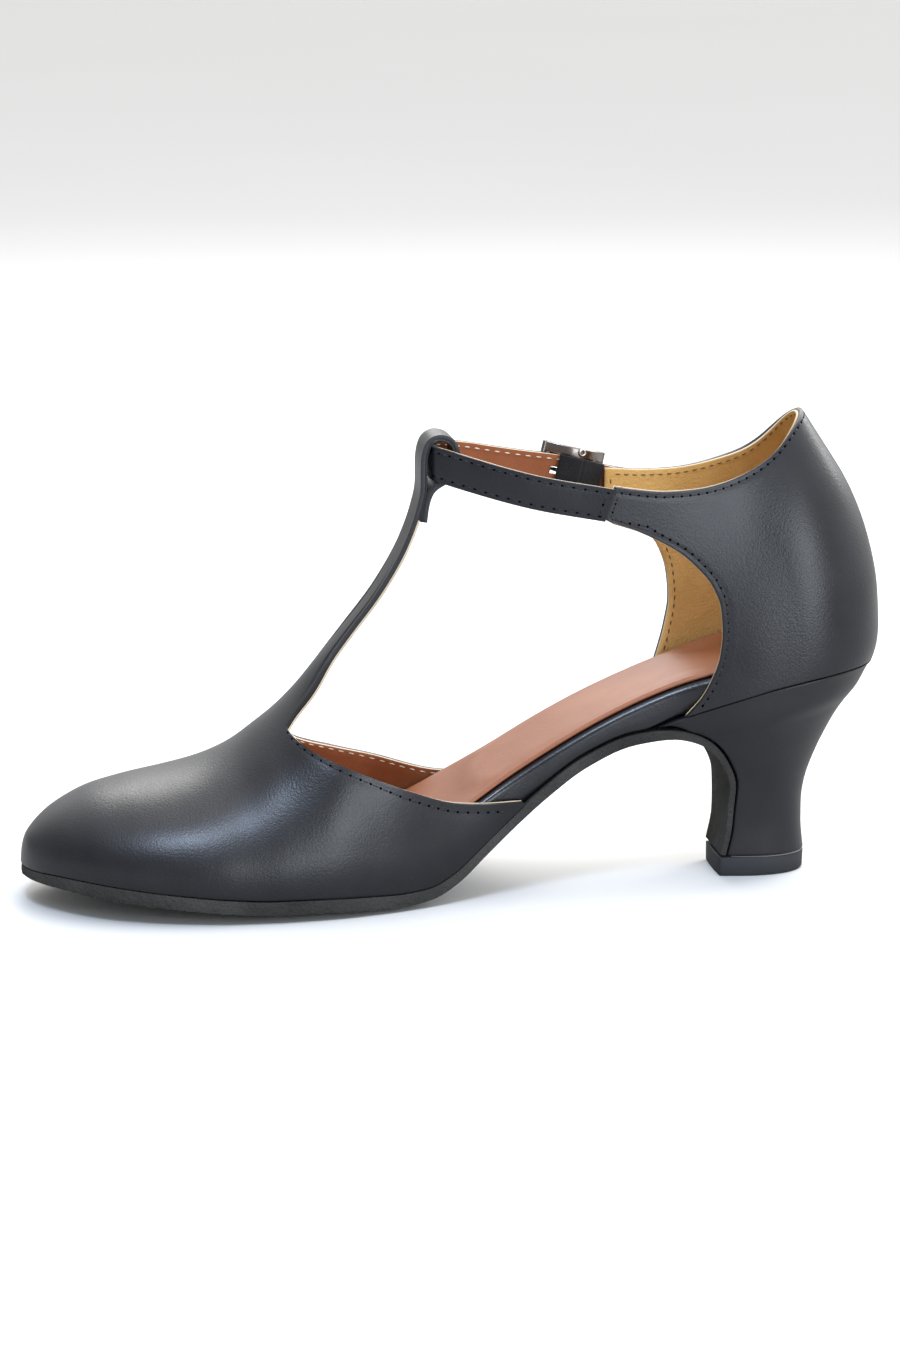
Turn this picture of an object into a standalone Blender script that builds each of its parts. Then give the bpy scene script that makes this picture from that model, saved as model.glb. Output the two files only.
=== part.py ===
"""T-strap shoe for the right foot, with a closed toe, an open waist and a flared heel.

The tables hold millimetres in a toe frame: x runs from the toe tip to the back of the
heel, y is negative on the inner (medial) side and positive on the outer (lateral)
side, and z is the height above the floor. The objects are in metres, with the origin
on the floor under the middle of the shoe.
"""
import math
from bisect import bisect_right
from collections import namedtuple

import bmesh
import bpy
from mathutils import Vector

# Driving dimensions, in millimetres
MM = 0.001
LENGTH = 240.0
GAP = 0.3
UPPER_WALL = 1.9
COUNTER_WALL = 2.2
STRAP_WALL = 2.2
SOCK_THICKNESS = 1.4
TOE_POWER = 2.25
INSTEP_POWER = 1.85
FEATHER_INSET = 0.4
BULGE = 1.3
BULGE_HEIGHT = 11.0
THROAT_X = 72.0
STEM_HALF = 6.0
STRAP_HALF = 4.6
BUCKLE_X = 156.6
LATERAL_WING_X = 166.0
LIFT_TOP = 5.5
BAR_HALF = 0.8
BAR_CORNER = 1.2
PRONG_LANE = 1.1

# Outsole, one row for a section along its lower side: place, rise of the edge over
# the middle, half widths and thickness. The last rows run down the heel's front.
SoleRow = namedtuple("SoleRow", "x z rise medial lateral thick")
SOLE_ROWS = (
    SoleRow(0.2, 7.3, 0.4, 2.9, 2.7, 2.3),
    SoleRow(9.0, 6.5, 1.1, 20.0, 19.2, 3.2),
    SoleRow(24.0, 4.6, 1.6, 31.0, 29.8, 3.7),
    SoleRow(39.0, 2.6, 2.1, 35.9, 34.4, 3.7),
    SoleRow(55.0, 0.7, 2.5, 38.0, 37.0, 3.7),
    SoleRow(66.0, 0.0, 2.5, 38.0, 38.0, 3.7),
    SoleRow(80.0, 0.0, 2.2, 36.9, 38.0, 3.7),
    SoleRow(98.0, 0.0, 1.4, 32.6, 35.4, 3.6),
    SoleRow(110.0, 1.4, 0.8, 28.4, 31.4, 3.2),
    SoleRow(117.5, 5.2, 0.4, 25.8, 28.4, 2.8),
    SoleRow(126.0, 12.6, 0.2, 23.4, 25.8, 2.4),
    SoleRow(134.5, 20.0, 0.1, 21.2, 23.0, 2.4),
    SoleRow(143.0, 26.9, 0.0, 19.3, 21.0, 2.7),
    SoleRow(155.5, 35.6, 0.0, 18.2, 19.4, 2.9),
    SoleRow(168.5, 40.8, 0.0, 17.5, 18.4, 3.0),
    SoleRow(179.0, 42.0, 0.0, 17.2, 17.8, 2.6),
    SoleRow(187.0, 40.0, 0.0, 16.6, 17.0, 2.2),
    SoleRow(193.2, 34.0, 0.0, 14.4, 14.4, 1.9),
    SoleRow(196.4, 26.0, 0.0, 11.4, 11.4, 1.7),
    SoleRow(196.4, 15.0, 0.0, 9.2, 9.2, 1.6),
    SoleRow(195.3, 6.4, 0.0, 8.8, 8.8, 1.6),
)

# Tread across the sole: flat part, knee and the rise at the knee, as shares
TREAD_FLAT = 0.62
TREAD_KNEE = 0.94
KNEE_RISE = 0.78

# Top line of the last's ridge above the toe, up to the throat
RidgeRow = namedtuple("RidgeRow", "x z")
RIDGE_ROWS = (
    RidgeRow(1.4, 17.7),
    RidgeRow(3.9, 20.8),
    RidgeRow(7.6, 24.0),
    RidgeRow(12.9, 27.1),
    RidgeRow(19.6, 30.0),
    RidgeRow(28.0, 32.1),
    RidgeRow(42.0, 35.0),
    RidgeRow(50.4, 37.4),
    RidgeRow(58.8, 41.4),
    RidgeRow(65.0, 46.2),
    RidgeRow(THROAT_X, 52.0),
    RidgeRow(83.9, 65.6),
    RidgeRow(94.7, 78.7),
    RidgeRow(106.0, 98.3),
    RidgeRow(140.0, 125.0),
)

# Outer face of the T-strap stem, its loop over the top and the ply folded back
STEM_ROWS = (
    RidgeRow(THROAT_X, 52.0),
    RidgeRow(78.1, 59.2),
    RidgeRow(89.2, 72.3),
    RidgeRow(99.2, 85.2),
    RidgeRow(106.2, 97.6),
    RidgeRow(109.2, 106.0),
    RidgeRow(110.5, 112.5),
    RidgeRow(110.5, 118.5),
    RidgeRow(111.2, 123.2),
    RidgeRow(113.0, 126.0),
    RidgeRow(115.9, 127.0),
    RidgeRow(119.4, 125.8),
    RidgeRow(121.5, 122.8),
    RidgeRow(121.9, 118.5),
    RidgeRow(121.2, 113.8),
    RidgeRow(118.3, 110.6),
    RidgeRow(114.4, 107.2),
    RidgeRow(113.0, 103.8),
)

# Half width of the stem over the length along it, flared where it leaves the vamp
StemWidthRow = namedtuple("StemWidthRow", "run half")
STEM_WIDTHS = (
    StemWidthRow(0.0, 13.0),
    StemWidthRow(1.5, 12.2),
    StemWidthRow(3.0, 11.5),
    StemWidthRow(6.0, 10.6),
    StemWidthRow(9.0, 10.0),
    StemWidthRow(12.0, 9.2),
    StemWidthRow(16.0, 7.8),
    StemWidthRow(20.0, 6.7),
    StemWidthRow(26.0, 6.1),
    StemWidthRow(40.0, 5.8),
    StemWidthRow(150.0, 5.5),
)

# Top edge of the vamp's two wings
ToplineRow = namedtuple("ToplineRow", "x z")
MEDIAL_TOPLINE = (
    ToplineRow(THROAT_X, 48.7),
    ToplineRow(73.0, 47.4),
    ToplineRow(76.2, 45.3),
    ToplineRow(83.9, 41.7),
    ToplineRow(92.3, 38.2),
    ToplineRow(103.2, 33.6),
    ToplineRow(118.1, 28.4),
    ToplineRow(136.8, 26.5),
)
LATERAL_TOPLINE = (
    ToplineRow(THROAT_X, 48.7),
    ToplineRow(73.2, 43.6),
    ToplineRow(76.0, 38.4),
    ToplineRow(80.6, 34.9),
    ToplineRow(90.5, 31.7),
    ToplineRow(102.0, 28.9),
    ToplineRow(121.0, 24.9),
    ToplineRow(131.0, 24.6),
)

# Heel cup: seat seam, collar, back line, front edges and half widths
SEAT_SEAM = (
    ToplineRow(158.0, 40.0),
    ToplineRow(172.0, 44.8),
    ToplineRow(181.1, 48.6),
    ToplineRow(195.9, 53.9),
    ToplineRow(207.1, 57.3),
    ToplineRow(219.1, 59.7),
    ToplineRow(229.0, 60.9),
    ToplineRow(240.0, 61.3),
)
CollarRow = namedtuple("CollarRow", "x z lateral_drop")
COLLAR = (
    CollarRow(158.6, 114.1, 1.2),
    CollarRow(168.7, 112.4, 0.3),
    CollarRow(176.0, 111.7, 0.0),
    CollarRow(184.0, 112.0, 0.0),
    CollarRow(191.0, 113.1, 0.0),
    CollarRow(198.4, 115.6, 0.2),
    CollarRow(204.5, 118.8, 0.9),
    CollarRow(209.5, 122.8, 1.2),
    CollarRow(213.4, 127.0, 0.8),
    CollarRow(217.4, 130.6, 0.0),
    CollarRow(240.0, 150.0, 0.0),
)
BackRow = namedtuple("BackRow", "z x")
COUNTER_BACK = (
    BackRow(60.0, 237.9),
    BackRow(63.6, 239.3),
    BackRow(68.5, 240.0),
    BackRow(81.4, 239.4),
    BackRow(95.2, 236.6),
    BackRow(108.9, 231.4),
    BackRow(122.7, 223.0),
    BackRow(130.1, 218.2),
)
MEDIAL_FRONT = (
    ToplineRow(181.7, 48.8),
    ToplineRow(185.8, 54.0),
    ToplineRow(188.9, 60.3),
    ToplineRow(190.8, 66.6),
    ToplineRow(191.4, 73.1),
    ToplineRow(191.0, 79.4),
    ToplineRow(188.7, 85.7),
    ToplineRow(184.7, 90.7),
    ToplineRow(179.2, 95.4),
    ToplineRow(173.3, 98.8),
    ToplineRow(165.2, 102.6),
    ToplineRow(159.0, 104.6),
)
LATERAL_FRONT = (
    ToplineRow(176.0, 46.7),
    ToplineRow(179.6, 53.2),
    ToplineRow(181.7, 59.1),
    ToplineRow(183.7, 66.4),
    ToplineRow(184.9, 74.0),
    ToplineRow(184.2, 81.6),
    ToplineRow(181.4, 89.6),
    ToplineRow(177.4, 94.4),
    ToplineRow(172.0, 98.4),
    ToplineRow(LATERAL_WING_X, 101.4),
)
SEAM_LEAN = 3.0
WidthRow = namedtuple("WidthRow", "x seat collar")
COUNTER_WIDTHS = (
    WidthRow(158.0, 18.0, 18.6),
    WidthRow(170.0, 18.8, 18.8),
    WidthRow(181.0, 20.6, 18.3),
    WidthRow(192.0, 23.4, 17.0),
    WidthRow(203.0, 25.4, 15.4),
    WidthRow(240.0, 26.2, 15.0),
)
COUNTER_BULGE = 0.8
BACK_POWER = 2.15
COUNTER_BACK_REACH = 27.0
COLLAR_BACK_REACH = 36.0
COUNTER_ROWS = (0, 0.035, 0.09, 0.17, 0.26, 0.36, 0.46, 0.56, 0.66, 0.75, 0.82, 0.855,
                0.9, 0.95, 1.0)

# Foot bed: height of the sock's top and half width of the board under it
BedRow = namedtuple("BedRow", "x z medial lateral")
BED_ROWS = (
    BedRow(14.0, 15.0, 20.5, 19.5),
    BedRow(20.0, 14.2, 25.0, 24.0),
    BedRow(30.0, 12.9, 29.6, 28.4),
    BedRow(47.0, 10.6, 33.8, 33.0),
    BedRow(66.0, 9.1, 34.8, 34.6),
    BedRow(80.0, 9.2, 33.6, 34.8),
    BedRow(90.0, 10.8, 31.2, 33.4),
    BedRow(100.0, 14.3, 28.2, 31.0),
    BedRow(110.0, 19.6, 25.2, 27.6),
    BedRow(121.0, 26.6, 21.2, 23.6),
    BedRow(134.0, 34.9, 18.4, 19.8),
    BedRow(147.0, 42.8, 18.0, 18.8),
    BedRow(158.0, 48.8, 17.8, 17.8),
    BedRow(169.0, 53.9, 17.6, 17.2),
    BedRow(180.0, 58.2, 17.8, 17.3),
    BedRow(190.0, 61.4, 19.8, 20.0),
    BedRow(203.0, 64.4, 22.4, 22.4),
    BedRow(214.0, 66.0, 22.6, 22.6),
    BedRow(225.0, 67.0, 19.0, 19.0),
    BedRow(232.0, 67.4, 12.4, 12.4),
    BedRow(235.6, 67.6, 4.0, 4.0),
)

# Heel, one row for a level: back and front points of the level and its half widths
HeelRow = namedtuple("HeelRow", "back_x back_z front_x front_z front_half half set_back")
HEEL_ROWS = (
    HeelRow(220.2, 5.8, 197.3, 5.8, 9.4, 10.8, 0.2),
    HeelRow(219.4, 13.0, 198.1, 13.0, 9.6, 10.8, 0.2),
    HeelRow(219.3, 20.0, 198.6, 19.0, 10.4, 11.5, 0.2),
    HeelRow(220.2, 26.8, 198.5, 25.5, 11.9, 12.8, 0.4),
    HeelRow(222.5, 33.7, 196.8, 31.0, 13.8, 15.0, 1.0),
    HeelRow(225.5, 40.5, 194.2, 36.0, 15.8, 17.8, 1.8),
    HeelRow(229.2, 47.3, 190.2, 40.4, 17.0, 20.6, 3.0),
    HeelRow(234.4, 54.2, 184.4, 43.8, 17.6, 23.6, 4.0),
    HeelRow(238.6, 61.0, 174.5, 45.4, 17.8, 25.6, 0.0),
)
HEEL_SIDE_POINTS = 11

# Ankle strap: centre line of its outer face, from the medial seam round the front
StrapRow = namedtuple("StrapRow", "x y z")
STRAP_ROWS = (
    StrapRow(159.1, -18.7, 108.7),
    StrapRow(150.8, -17.6, 110.0),
    StrapRow(141.9, -16.0, 111.6),
    StrapRow(131.5, -13.4, 113.7),
    StrapRow(123.6, -10.8, 115.5),
    StrapRow(116.3, -7.8, 117.1),
    StrapRow(114.2, -4.8, 117.6),
    StrapRow(113.5, 0.0, 117.8),
    StrapRow(114.2, 4.8, 118.1),
    StrapRow(116.4, 7.9, 118.4),
    StrapRow(123.5, 10.8, 117.5),
    StrapRow(131.1, 13.4, 116.0),
    StrapRow(141.5, 16.0, 113.9),
    StrapRow(149.4, 17.6, 112.5),
    StrapRow(156.0, 19.3, 111.0),
    StrapRow(161.5, 20.7, 109.4),
    StrapRow(167.0, 21.6, 107.8),
    StrapRow(173.5, 21.9, 106.6),
    StrapRow(183.0, 22.0, 105.6),
)

Finish = namedtuple("Finish", "colour roughness metallic")
FINISHES = {
    "navy_leather": Finish((0.018, 0.022, 0.034), 0.36, 0.0),
    "brown_sock": Finish((0.40, 0.17, 0.085), 0.5, 0.0),
    "black_rim": Finish((0.012, 0.013, 0.018), 0.3, 0.0),
    "rough_sole": Finish((0.045, 0.046, 0.05), 0.9, 0.0),
    "heel_cover": Finish((0.02, 0.021, 0.026), 0.4, 0.0),
    "lift_rubber": Finish((0.05, 0.052, 0.06), 0.7, 0.0),
    "dark_metal": Finish((0.16, 0.14, 0.13), 0.25, 1.0),
    "black_elastic": Finish((0.02, 0.02, 0.022), 0.8, 0.0),
}


def smooth(places, values):
    """A monotone cubic curve through the values, straight beyond its two ends."""
    count = len(places)
    steps = [places[i + 1] - places[i] for i in range(count - 1)]
    rates = [(values[i + 1] - values[i]) / steps[i] for i in range(count - 1)]
    slopes = [rates[0]] + [0.0] * (count - 2) + [rates[-1]]
    for i in range(1, count - 1):
        if rates[i - 1] * rates[i] > 0:
            before = 2 * steps[i] + steps[i - 1]
            after = steps[i] + 2 * steps[i - 1]
            slopes[i] = (before + after) / (before / rates[i - 1] + after / rates[i])

    def value(place):
        if place <= places[0]:
            return values[0] + slopes[0] * (place - places[0])
        if place >= places[-1]:
            return values[-1] + slopes[-1] * (place - places[-1])
        i = min(bisect_right(places, place) - 1, count - 2)
        t = (place - places[i]) / steps[i]
        return ((1 + 2 * t) * (1 - t) ** 2 * values[i] + t * (1 - t) ** 2 * steps[i] * slopes[i]
                + t * t * (3 - 2 * t) * values[i + 1] - t * t * (1 - t) * steps[i] * slopes[i + 1])

    return value


def column(rows, place, name):
    """The curve of one named column over another column of a table."""
    return smooth([getattr(row, place) for row in rows], [getattr(row, name) for row in rows])


def rooted(rows, name, start):
    """A column over the root of x, so that it opens round at the toe tip."""
    places = [0.0] + [math.sqrt(row.x) for row in rows]
    curve = smooth(places, [start] + [getattr(row, name) for row in rows])
    return lambda x: curve(math.sqrt(max(x, 0.0)))


def path(rows, names):
    """Curves of the named columns over the length along a table's rows."""
    lengths = [0.0]
    for first, second in zip(rows, rows[1:]):
        step = [getattr(second, n) - getattr(first, n) for n in names]
        lengths.append(lengths[-1] + math.hypot(*step))
    curves = {n: smooth(lengths, [getattr(r, n) for r in rows]) for n in rows[0]._fields}
    return curves, lengths[-1]


def blend(first, second, share):
    """The value that lies the given share of the way from the first to the second."""
    return first + (second - first) * share


def place(point):
    """A toe-frame point in millimetres as a place in metres."""
    x, y, z = point
    return Vector(((x - LENGTH / 2) * MM, y * MM, z * MM))


SOLE_PATH, SOLE_LENGTH = path(SOLE_ROWS, ("x", "z"))
SOLE_FORE = SOLE_ROWS[:16]
SOLE_Z = column(SOLE_FORE, "x", "z")
SOLE_RISE = column(SOLE_FORE, "x", "rise")
SOLE_THICK = column(SOLE_FORE, "x", "thick")
SOLE_HALF = {
    -1: rooted(SOLE_FORE[1:], "medial", 0.0),
    1: rooted(SOLE_FORE[1:], "lateral", 0.0),
}
SEAM_Z = column(SEAT_SEAM, "x", "z")
COLLAR_Z = column(COLLAR, "x", "z")
COLLAR_DROP = column(COLLAR, "x", "lateral_drop")
BACK_X = column(COUNTER_BACK, "z", "x")
SEAT_HALF = column(COUNTER_WIDTHS, "x", "seat")
COLLAR_HALF = column(COUNTER_WIDTHS, "x", "collar")
STRAP_PATH, STRAP_LENGTH = path(STRAP_ROWS, ("x", "y", "z"))
STEM_PATH, STEM_LENGTH = path(STEM_ROWS, ("x", "z"))


def sole_slope(x):
    """Slope of the sole's lower side at a place along the shoe."""
    return (SOLE_Z(x + 0.5) - SOLE_Z(x - 0.5)) if x > 1 else 0.0


def feather_z(x):
    """Height where the upper meets the edge of the sole."""
    lift = SOLE_THICK(x) * math.hypot(1.0, sole_slope(x))
    return SOLE_Z(x) + SOLE_RISE(x) + lift + GAP


def edge_lift(share):
    """Rise of the tread towards its edge, as a share of the whole rise."""
    if share < TREAD_KNEE:
        return max(share - TREAD_FLAT, 0.0) / (TREAD_KNEE - TREAD_FLAT) * KNEE_RISE
    return KNEE_RISE + (share - TREAD_KNEE) / (1 - TREAD_KNEE) * (1 - KNEE_RISE)


RIDGE_HEIGHT = rooted([RidgeRow(r.x, r.z - feather_z(r.x)) for r in RIDGE_ROWS], "z", 0.0)


def section_power(x):
    """Fullness of the last's section: round at the toe, narrower over the instep."""
    share = min(max((x - 30.0) / 45.0, 0.0), 1.0)
    return blend(TOE_POWER, INSTEP_POWER, share * share * (3 - 2 * share))


def last_point(x, angle):
    """A point of the forepart's last, at an angle from the medial to the lateral feather."""
    side = -1 if angle < math.pi / 2 else 1
    across = abs(math.cos(angle)) ** (2 / section_power(x))
    up = abs(math.sin(angle)) ** (2 / section_power(x))
    height = RIDGE_HEIGHT(x) * up
    half = max(SOLE_HALF[side](x) - FEATHER_INSET, 0.0)
    swell = min(height / BULGE_HEIGHT, 1.0)
    half += BULGE * swell * (2 - swell) * min(x / 12.0, 1.0)
    return (x, side * half * across, feather_z(x) + height)


def angle_at_height(x, z):
    """Angle of the last's section at a height, measured from its nearer feather."""
    share = min(max((z - feather_z(x)) / RIDGE_HEIGHT(x), 0.0), 1.0)
    return math.asin(share ** (section_power(x) / 2))


def angle_at_width(x, y):
    """Angle of the last's section at a distance from the ridge."""
    side = -1 if y < 0 else 1
    share = abs(y) / (SOLE_HALF[side](x) - FEATHER_INSET + BULGE)
    return math.acos(share ** (section_power(x) / 2))


def new_object(name, mesh, finish, collection):
    """Link a mesh as a named object with its own material."""
    material = bpy.data.materials.new(name)
    material.use_nodes = True
    shader = material.node_tree.nodes["Principled BSDF"]
    shader.inputs["Base Color"].default_value = (*FINISHES[finish].colour, 1.0)
    shader.inputs["Roughness"].default_value = FINISHES[finish].roughness
    shader.inputs["Metallic"].default_value = FINISHES[finish].metallic
    mesh.materials.append(material)
    thing = bpy.data.objects.new(name, mesh)
    collection.objects.link(thing)
    return thing


def add_grid(form, rows, columns, surface, keep=None):
    """Add a grid whose points the surface function places, without the cells left out."""
    made = bmesh.ops.create_grid(form, x_segments=rows, y_segments=columns, size=0.5)
    cells = {face for vertex in made["verts"] for face in vertex.link_faces}
    if keep:
        dropped = []
        for face in cells:
            middle = face.calc_center_median()
            row = int((middle.x + 0.5) * rows)
            lane = int((middle.y + 0.5) * columns)
            if not keep(row, lane):
                dropped.append(face)
        bmesh.ops.delete(form, geom=dropped, context="FACES")
    for vertex in made["verts"]:
        if vertex.is_valid:
            row = round((vertex.co.x + 0.5) * rows)
            lane = round((vertex.co.y + 0.5) * columns)
            vertex.co = place(surface(row, lane))


def shell(name, form, wall, finish, collection, outward):
    """Close an open surface to a wall; outward says whether a face points out."""
    bmesh.ops.remove_doubles(form, verts=form.verts, dist=0.00001)
    form.normal_update()
    form.faces.ensure_lookup_table()
    bmesh.ops.recalc_face_normals(form, faces=form.faces)
    form.normal_update()
    if not outward(max(form.faces, key=lambda face: face.calc_area())):
        bmesh.ops.reverse_faces(form, faces=form.faces)
    mesh = bpy.data.meshes.new(name)
    form.to_mesh(mesh)
    form.free()
    thing = new_object(name, mesh, finish, collection)
    solid = thing.modifiers.new("wall", "SOLIDIFY")
    solid.thickness = wall * MM
    solid.offset = -1.0
    mesh.shade_smooth()
    return thing


def loft(name, rings, finish, collection):
    """Join closed rings of equal count; each end is closed by strips across the ring."""
    form = bmesh.new()
    loops = [[form.verts.new(place(point)) for point in ring] for ring in rings]
    count = len(rings[0])
    for lower, upper in zip(loops, loops[1:]):
        for i in range(count):
            j = (i + 1) % count
            form.faces.new((lower[i], lower[j], upper[j], upper[i]))
    for loop in (loops[0], loops[-1]):
        for i in range(count // 2 - 1):
            form.faces.new((loop[i], loop[i + 1], loop[count - 2 - i], loop[count - 1 - i]))
        if count % 2:
            middle = count // 2
            form.faces.new((loop[middle - 1], loop[middle], loop[middle + 1]))
    bmesh.ops.remove_doubles(form, verts=form.verts, dist=0.00001)
    bmesh.ops.recalc_face_normals(form, faces=form.faces)
    mesh = bpy.data.meshes.new(name)
    form.to_mesh(mesh)
    form.free()
    mesh.shade_smooth()
    mesh.set_sharp_from_angle(angle=math.radians(40))
    return new_object(name, mesh, finish, collection)


def build_vamp(collection):
    """Closed forefoot with two wings and the T-strap stem folded over into a loop."""
    toe_rows, wing_rows, stem_rows = 17, 12, 34
    wall_lanes, stem_lanes = 9, 4
    medial_top = column(MEDIAL_TOPLINE, "x", "z")
    lateral_top = column(LATERAL_TOPLINE, "x", "z")
    wing_end = {-1: MEDIAL_TOPLINE[-1].x, 1: LATERAL_TOPLINE[-1].x}
    stem_half = column(STEM_WIDTHS, "run", "half")
    throat = {side: angle_at_width(THROAT_X, side * stem_half(0.0)) for side in (-1, 1)}
    lanes = 2 * wall_lanes + stem_lanes

    def lane_angle(lane):
        if lane <= wall_lanes:
            return throat[-1] * lane / wall_lanes
        if lane >= wall_lanes + stem_lanes:
            return math.pi - throat[1] * (lanes - lane) / wall_lanes
        share = (lane - wall_lanes) / stem_lanes
        return blend(throat[-1], math.pi - throat[1], share)

    def toe(row, lane):
        x = THROAT_X * (row / toe_rows) ** 2 * (1.6 - 0.6 * row / toe_rows)
        return last_point(x, lane_angle(lane))

    def wing(side, top):
        def surface(row, lane):
            x = blend(THROAT_X, wing_end[side], (row / wing_rows) ** 1.7)
            start = throat[side]
            reach = angle_at_height(x, top(x)) if row else start
            angle = reach * lane / wall_lanes
            return last_point(x, angle if side < 0 else math.pi - angle)
        return surface

    def stem(row, lane):
        if row == 0:
            return last_point(THROAT_X, lane_angle(wall_lanes + lane))
        run = STEM_LENGTH * row / stem_rows
        x = STEM_PATH["x"](run)
        z = STEM_PATH["z"](run)
        ahead = (STEM_PATH["x"](run + 0.5) - x, STEM_PATH["z"](run + 0.5) - z)
        size = math.hypot(*ahead)
        low = angle_at_width(x, -stem_half(run))
        high = math.pi - angle_at_width(x, stem_half(run))
        on_last = last_point(x, blend(low, high, lane / stem_lanes))
        y = on_last[1]
        fade = max(0.0, 1 - run / 34.0)
        crown = (0.9 * fade ** 1.5 + 0.5 * max(0.0, 1 - run / 60.0)) * (y / STEM_HALF) ** 2
        strip = (x + crown * ahead[1] / size, y, z - crown * ahead[0] / size)
        share = min(max((run - 3.0) / 17.0, 0.0), 1.0)
        share *= share * (3 - 2 * share)
        return [blend(first, second, share) for first, second in zip(on_last, strip)]

    form = bmesh.new()
    add_grid(form, toe_rows, lanes, toe)
    add_grid(form, wing_rows, wall_lanes, wing(-1, medial_top))
    add_grid(form, wing_rows, wall_lanes, wing(1, lateral_top))
    add_grid(form, stem_rows, stem_lanes, stem)
    # Of the shell's faces the largest lies on the top or the outer sides
    return shell("vamp", form, UPPER_WALL, "navy_leather", collection,
                 lambda face: face.normal.dot(face.calc_center_median() - place((40, 0, 8))) > 0)


def collar_z(x, side):
    """Height of the collar, which is lower on the lateral side."""
    return COLLAR_Z(x) - (COLLAR_DROP(x) if side > 0 else 0.0)


def counter_share(x, z, side):
    """Height between the seat seam and the collar as a share."""
    return (z - SEAM_Z(x)) / (collar_z(x, side) - SEAM_Z(x))


def counter_point(x, share, side):
    """A point of the heel cup's outer face at a share of its height."""
    z = blend(SEAM_Z(x), collar_z(x, side), share)
    length = blend(COUNTER_BACK_REACH, COLLAR_BACK_REACH, share ** 3)
    reach = min(max((BACK_X(z) - x) / length, 0.0), 1.0)
    round_back = (1 - (1 - reach) ** BACK_POWER) ** (1 / BACK_POWER)
    half = blend(SEAT_HALF(x), COLLAR_HALF(x), share ** 1.5)
    half += COUNTER_BULGE * math.sin(math.pi * share)
    return (x, side * half * round_back, z)


def counter_back(share):
    """Place of the back line at a share of the cup's height."""
    x = 238.0
    for _ in range(30):
        x = blend(x, BACK_X(blend(SEAM_Z(x), COLLAR_Z(x), share)), 0.5)
    return x


def counter_front(side):
    """Front edge of the heel cup over the share of its height."""
    rows = MEDIAL_FRONT if side < 0 else LATERAL_FRONT
    shares = [0.0] + [counter_share(row.x, row.z, side) for row in rows[1:]]
    curve = smooth(shares, [row.x for row in rows])
    lean = SEAM_LEAN if side < 0 else 0.0

    def front(share):
        if share < shares[-1]:
            return curve(share)
        return rows[-1].x + lean * (share - shares[-1]) / (1 - shares[-1])

    return front


def build_counter(collection):
    """Heel cup with its two wings, open at the collar and the waist."""
    half_columns = 15
    rows = len(COUNTER_ROWS) - 1
    fronts = {side: counter_front(side) for side in (-1, 1)}

    def surface(row, lane):
        share = COUNTER_ROWS[row]
        turn = (lane - half_columns) / half_columns
        side = -1 if turn < 0 else 1
        back = counter_back(share)
        front = fronts[side](share)
        x = back - (back - front) * (1 - math.cos(math.pi / 2 * abs(turn)))
        return counter_point(x, share, side)

    form = bmesh.new()
    add_grid(form, rows, 2 * half_columns, surface)
    return shell("counter", form, COUNTER_WALL, "navy_leather", collection,
                 lambda face: face.normal.dot(face.calc_center_median() - place((205, 0, 90))) > 0)


def strap_frame(run):
    """Centre point, forward and outward directions of the ankle strap's outer face."""
    here = Vector([STRAP_PATH[n](run) for n in ("x", "y", "z")])
    ahead = Vector([STRAP_PATH[n](run + 0.4) for n in ("x", "y", "z")])
    back = Vector([STRAP_PATH[n](run - 0.4) for n in ("x", "y", "z")])
    forward = (ahead - back).normalized()
    outward = forward.cross(Vector((0, 0, 1))).normalized()
    if outward.dot(here - Vector((150, 0, here.z))) < 0:
        outward = -outward
    return here, forward, outward


def run_at_lateral(x):
    """Length along the strap where its lateral side reaches a place."""
    low, high = STRAP_LENGTH / 2, STRAP_LENGTH
    for _ in range(40):
        middle = (low + high) / 2
        if STRAP_PATH["x"](middle) < x:
            low = middle
        else:
            high = middle
    return low


def buckle_frame():
    """Centre of the buckle's bar, with the directions along, outward and up."""
    here, forward, outward = strap_frame(run_at_lateral(BUCKLE_X))
    up = outward.cross(forward).normalized()
    if up.z < 0:
        up = -up
    return here - outward * (STRAP_WALL + GAP + BAR_HALF), forward, outward, up


def build_strap(collection):
    """Ankle strap with rounded tail, and the slot that the prong passes through."""
    stations = 64
    slot = run_at_lateral(BUCKLE_X - 2.4)
    runs = [STRAP_LENGTH * i / stations for i in range(stations + 1)]
    nearest = min(range(stations), key=lambda i: abs((runs[i] + runs[i + 1]) / 2 - slot))
    runs[nearest] = slot - 1.5
    runs[nearest + 1] = slot + 1.5
    heights = (-1.0, -PRONG_LANE / STRAP_HALF, PRONG_LANE / STRAP_HALF, 1.0)

    def surface(row, lane):
        here, forward, outward = strap_frame(runs[row])
        up = Vector((0, 0, 1))
        up = (up - forward * up.dot(forward)).normalized()
        left = (STRAP_LENGTH - runs[row]) / 5.0
        tail = math.sqrt(max(1 - (1 - min(left, 1.0)) ** 2, 0.09))
        return here + up * (heights[lane] * STRAP_HALF * tail)

    form = bmesh.new()
    add_grid(form, stations, 3, surface, keep=lambda row, lane: (row, lane) != (nearest, 1))
    return shell("ankle_strap", form, STRAP_WALL, "navy_leather", collection,
                 lambda face: face.normal.dot(face.calc_center_median() - place((150, 0, 112))) > 0)


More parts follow.
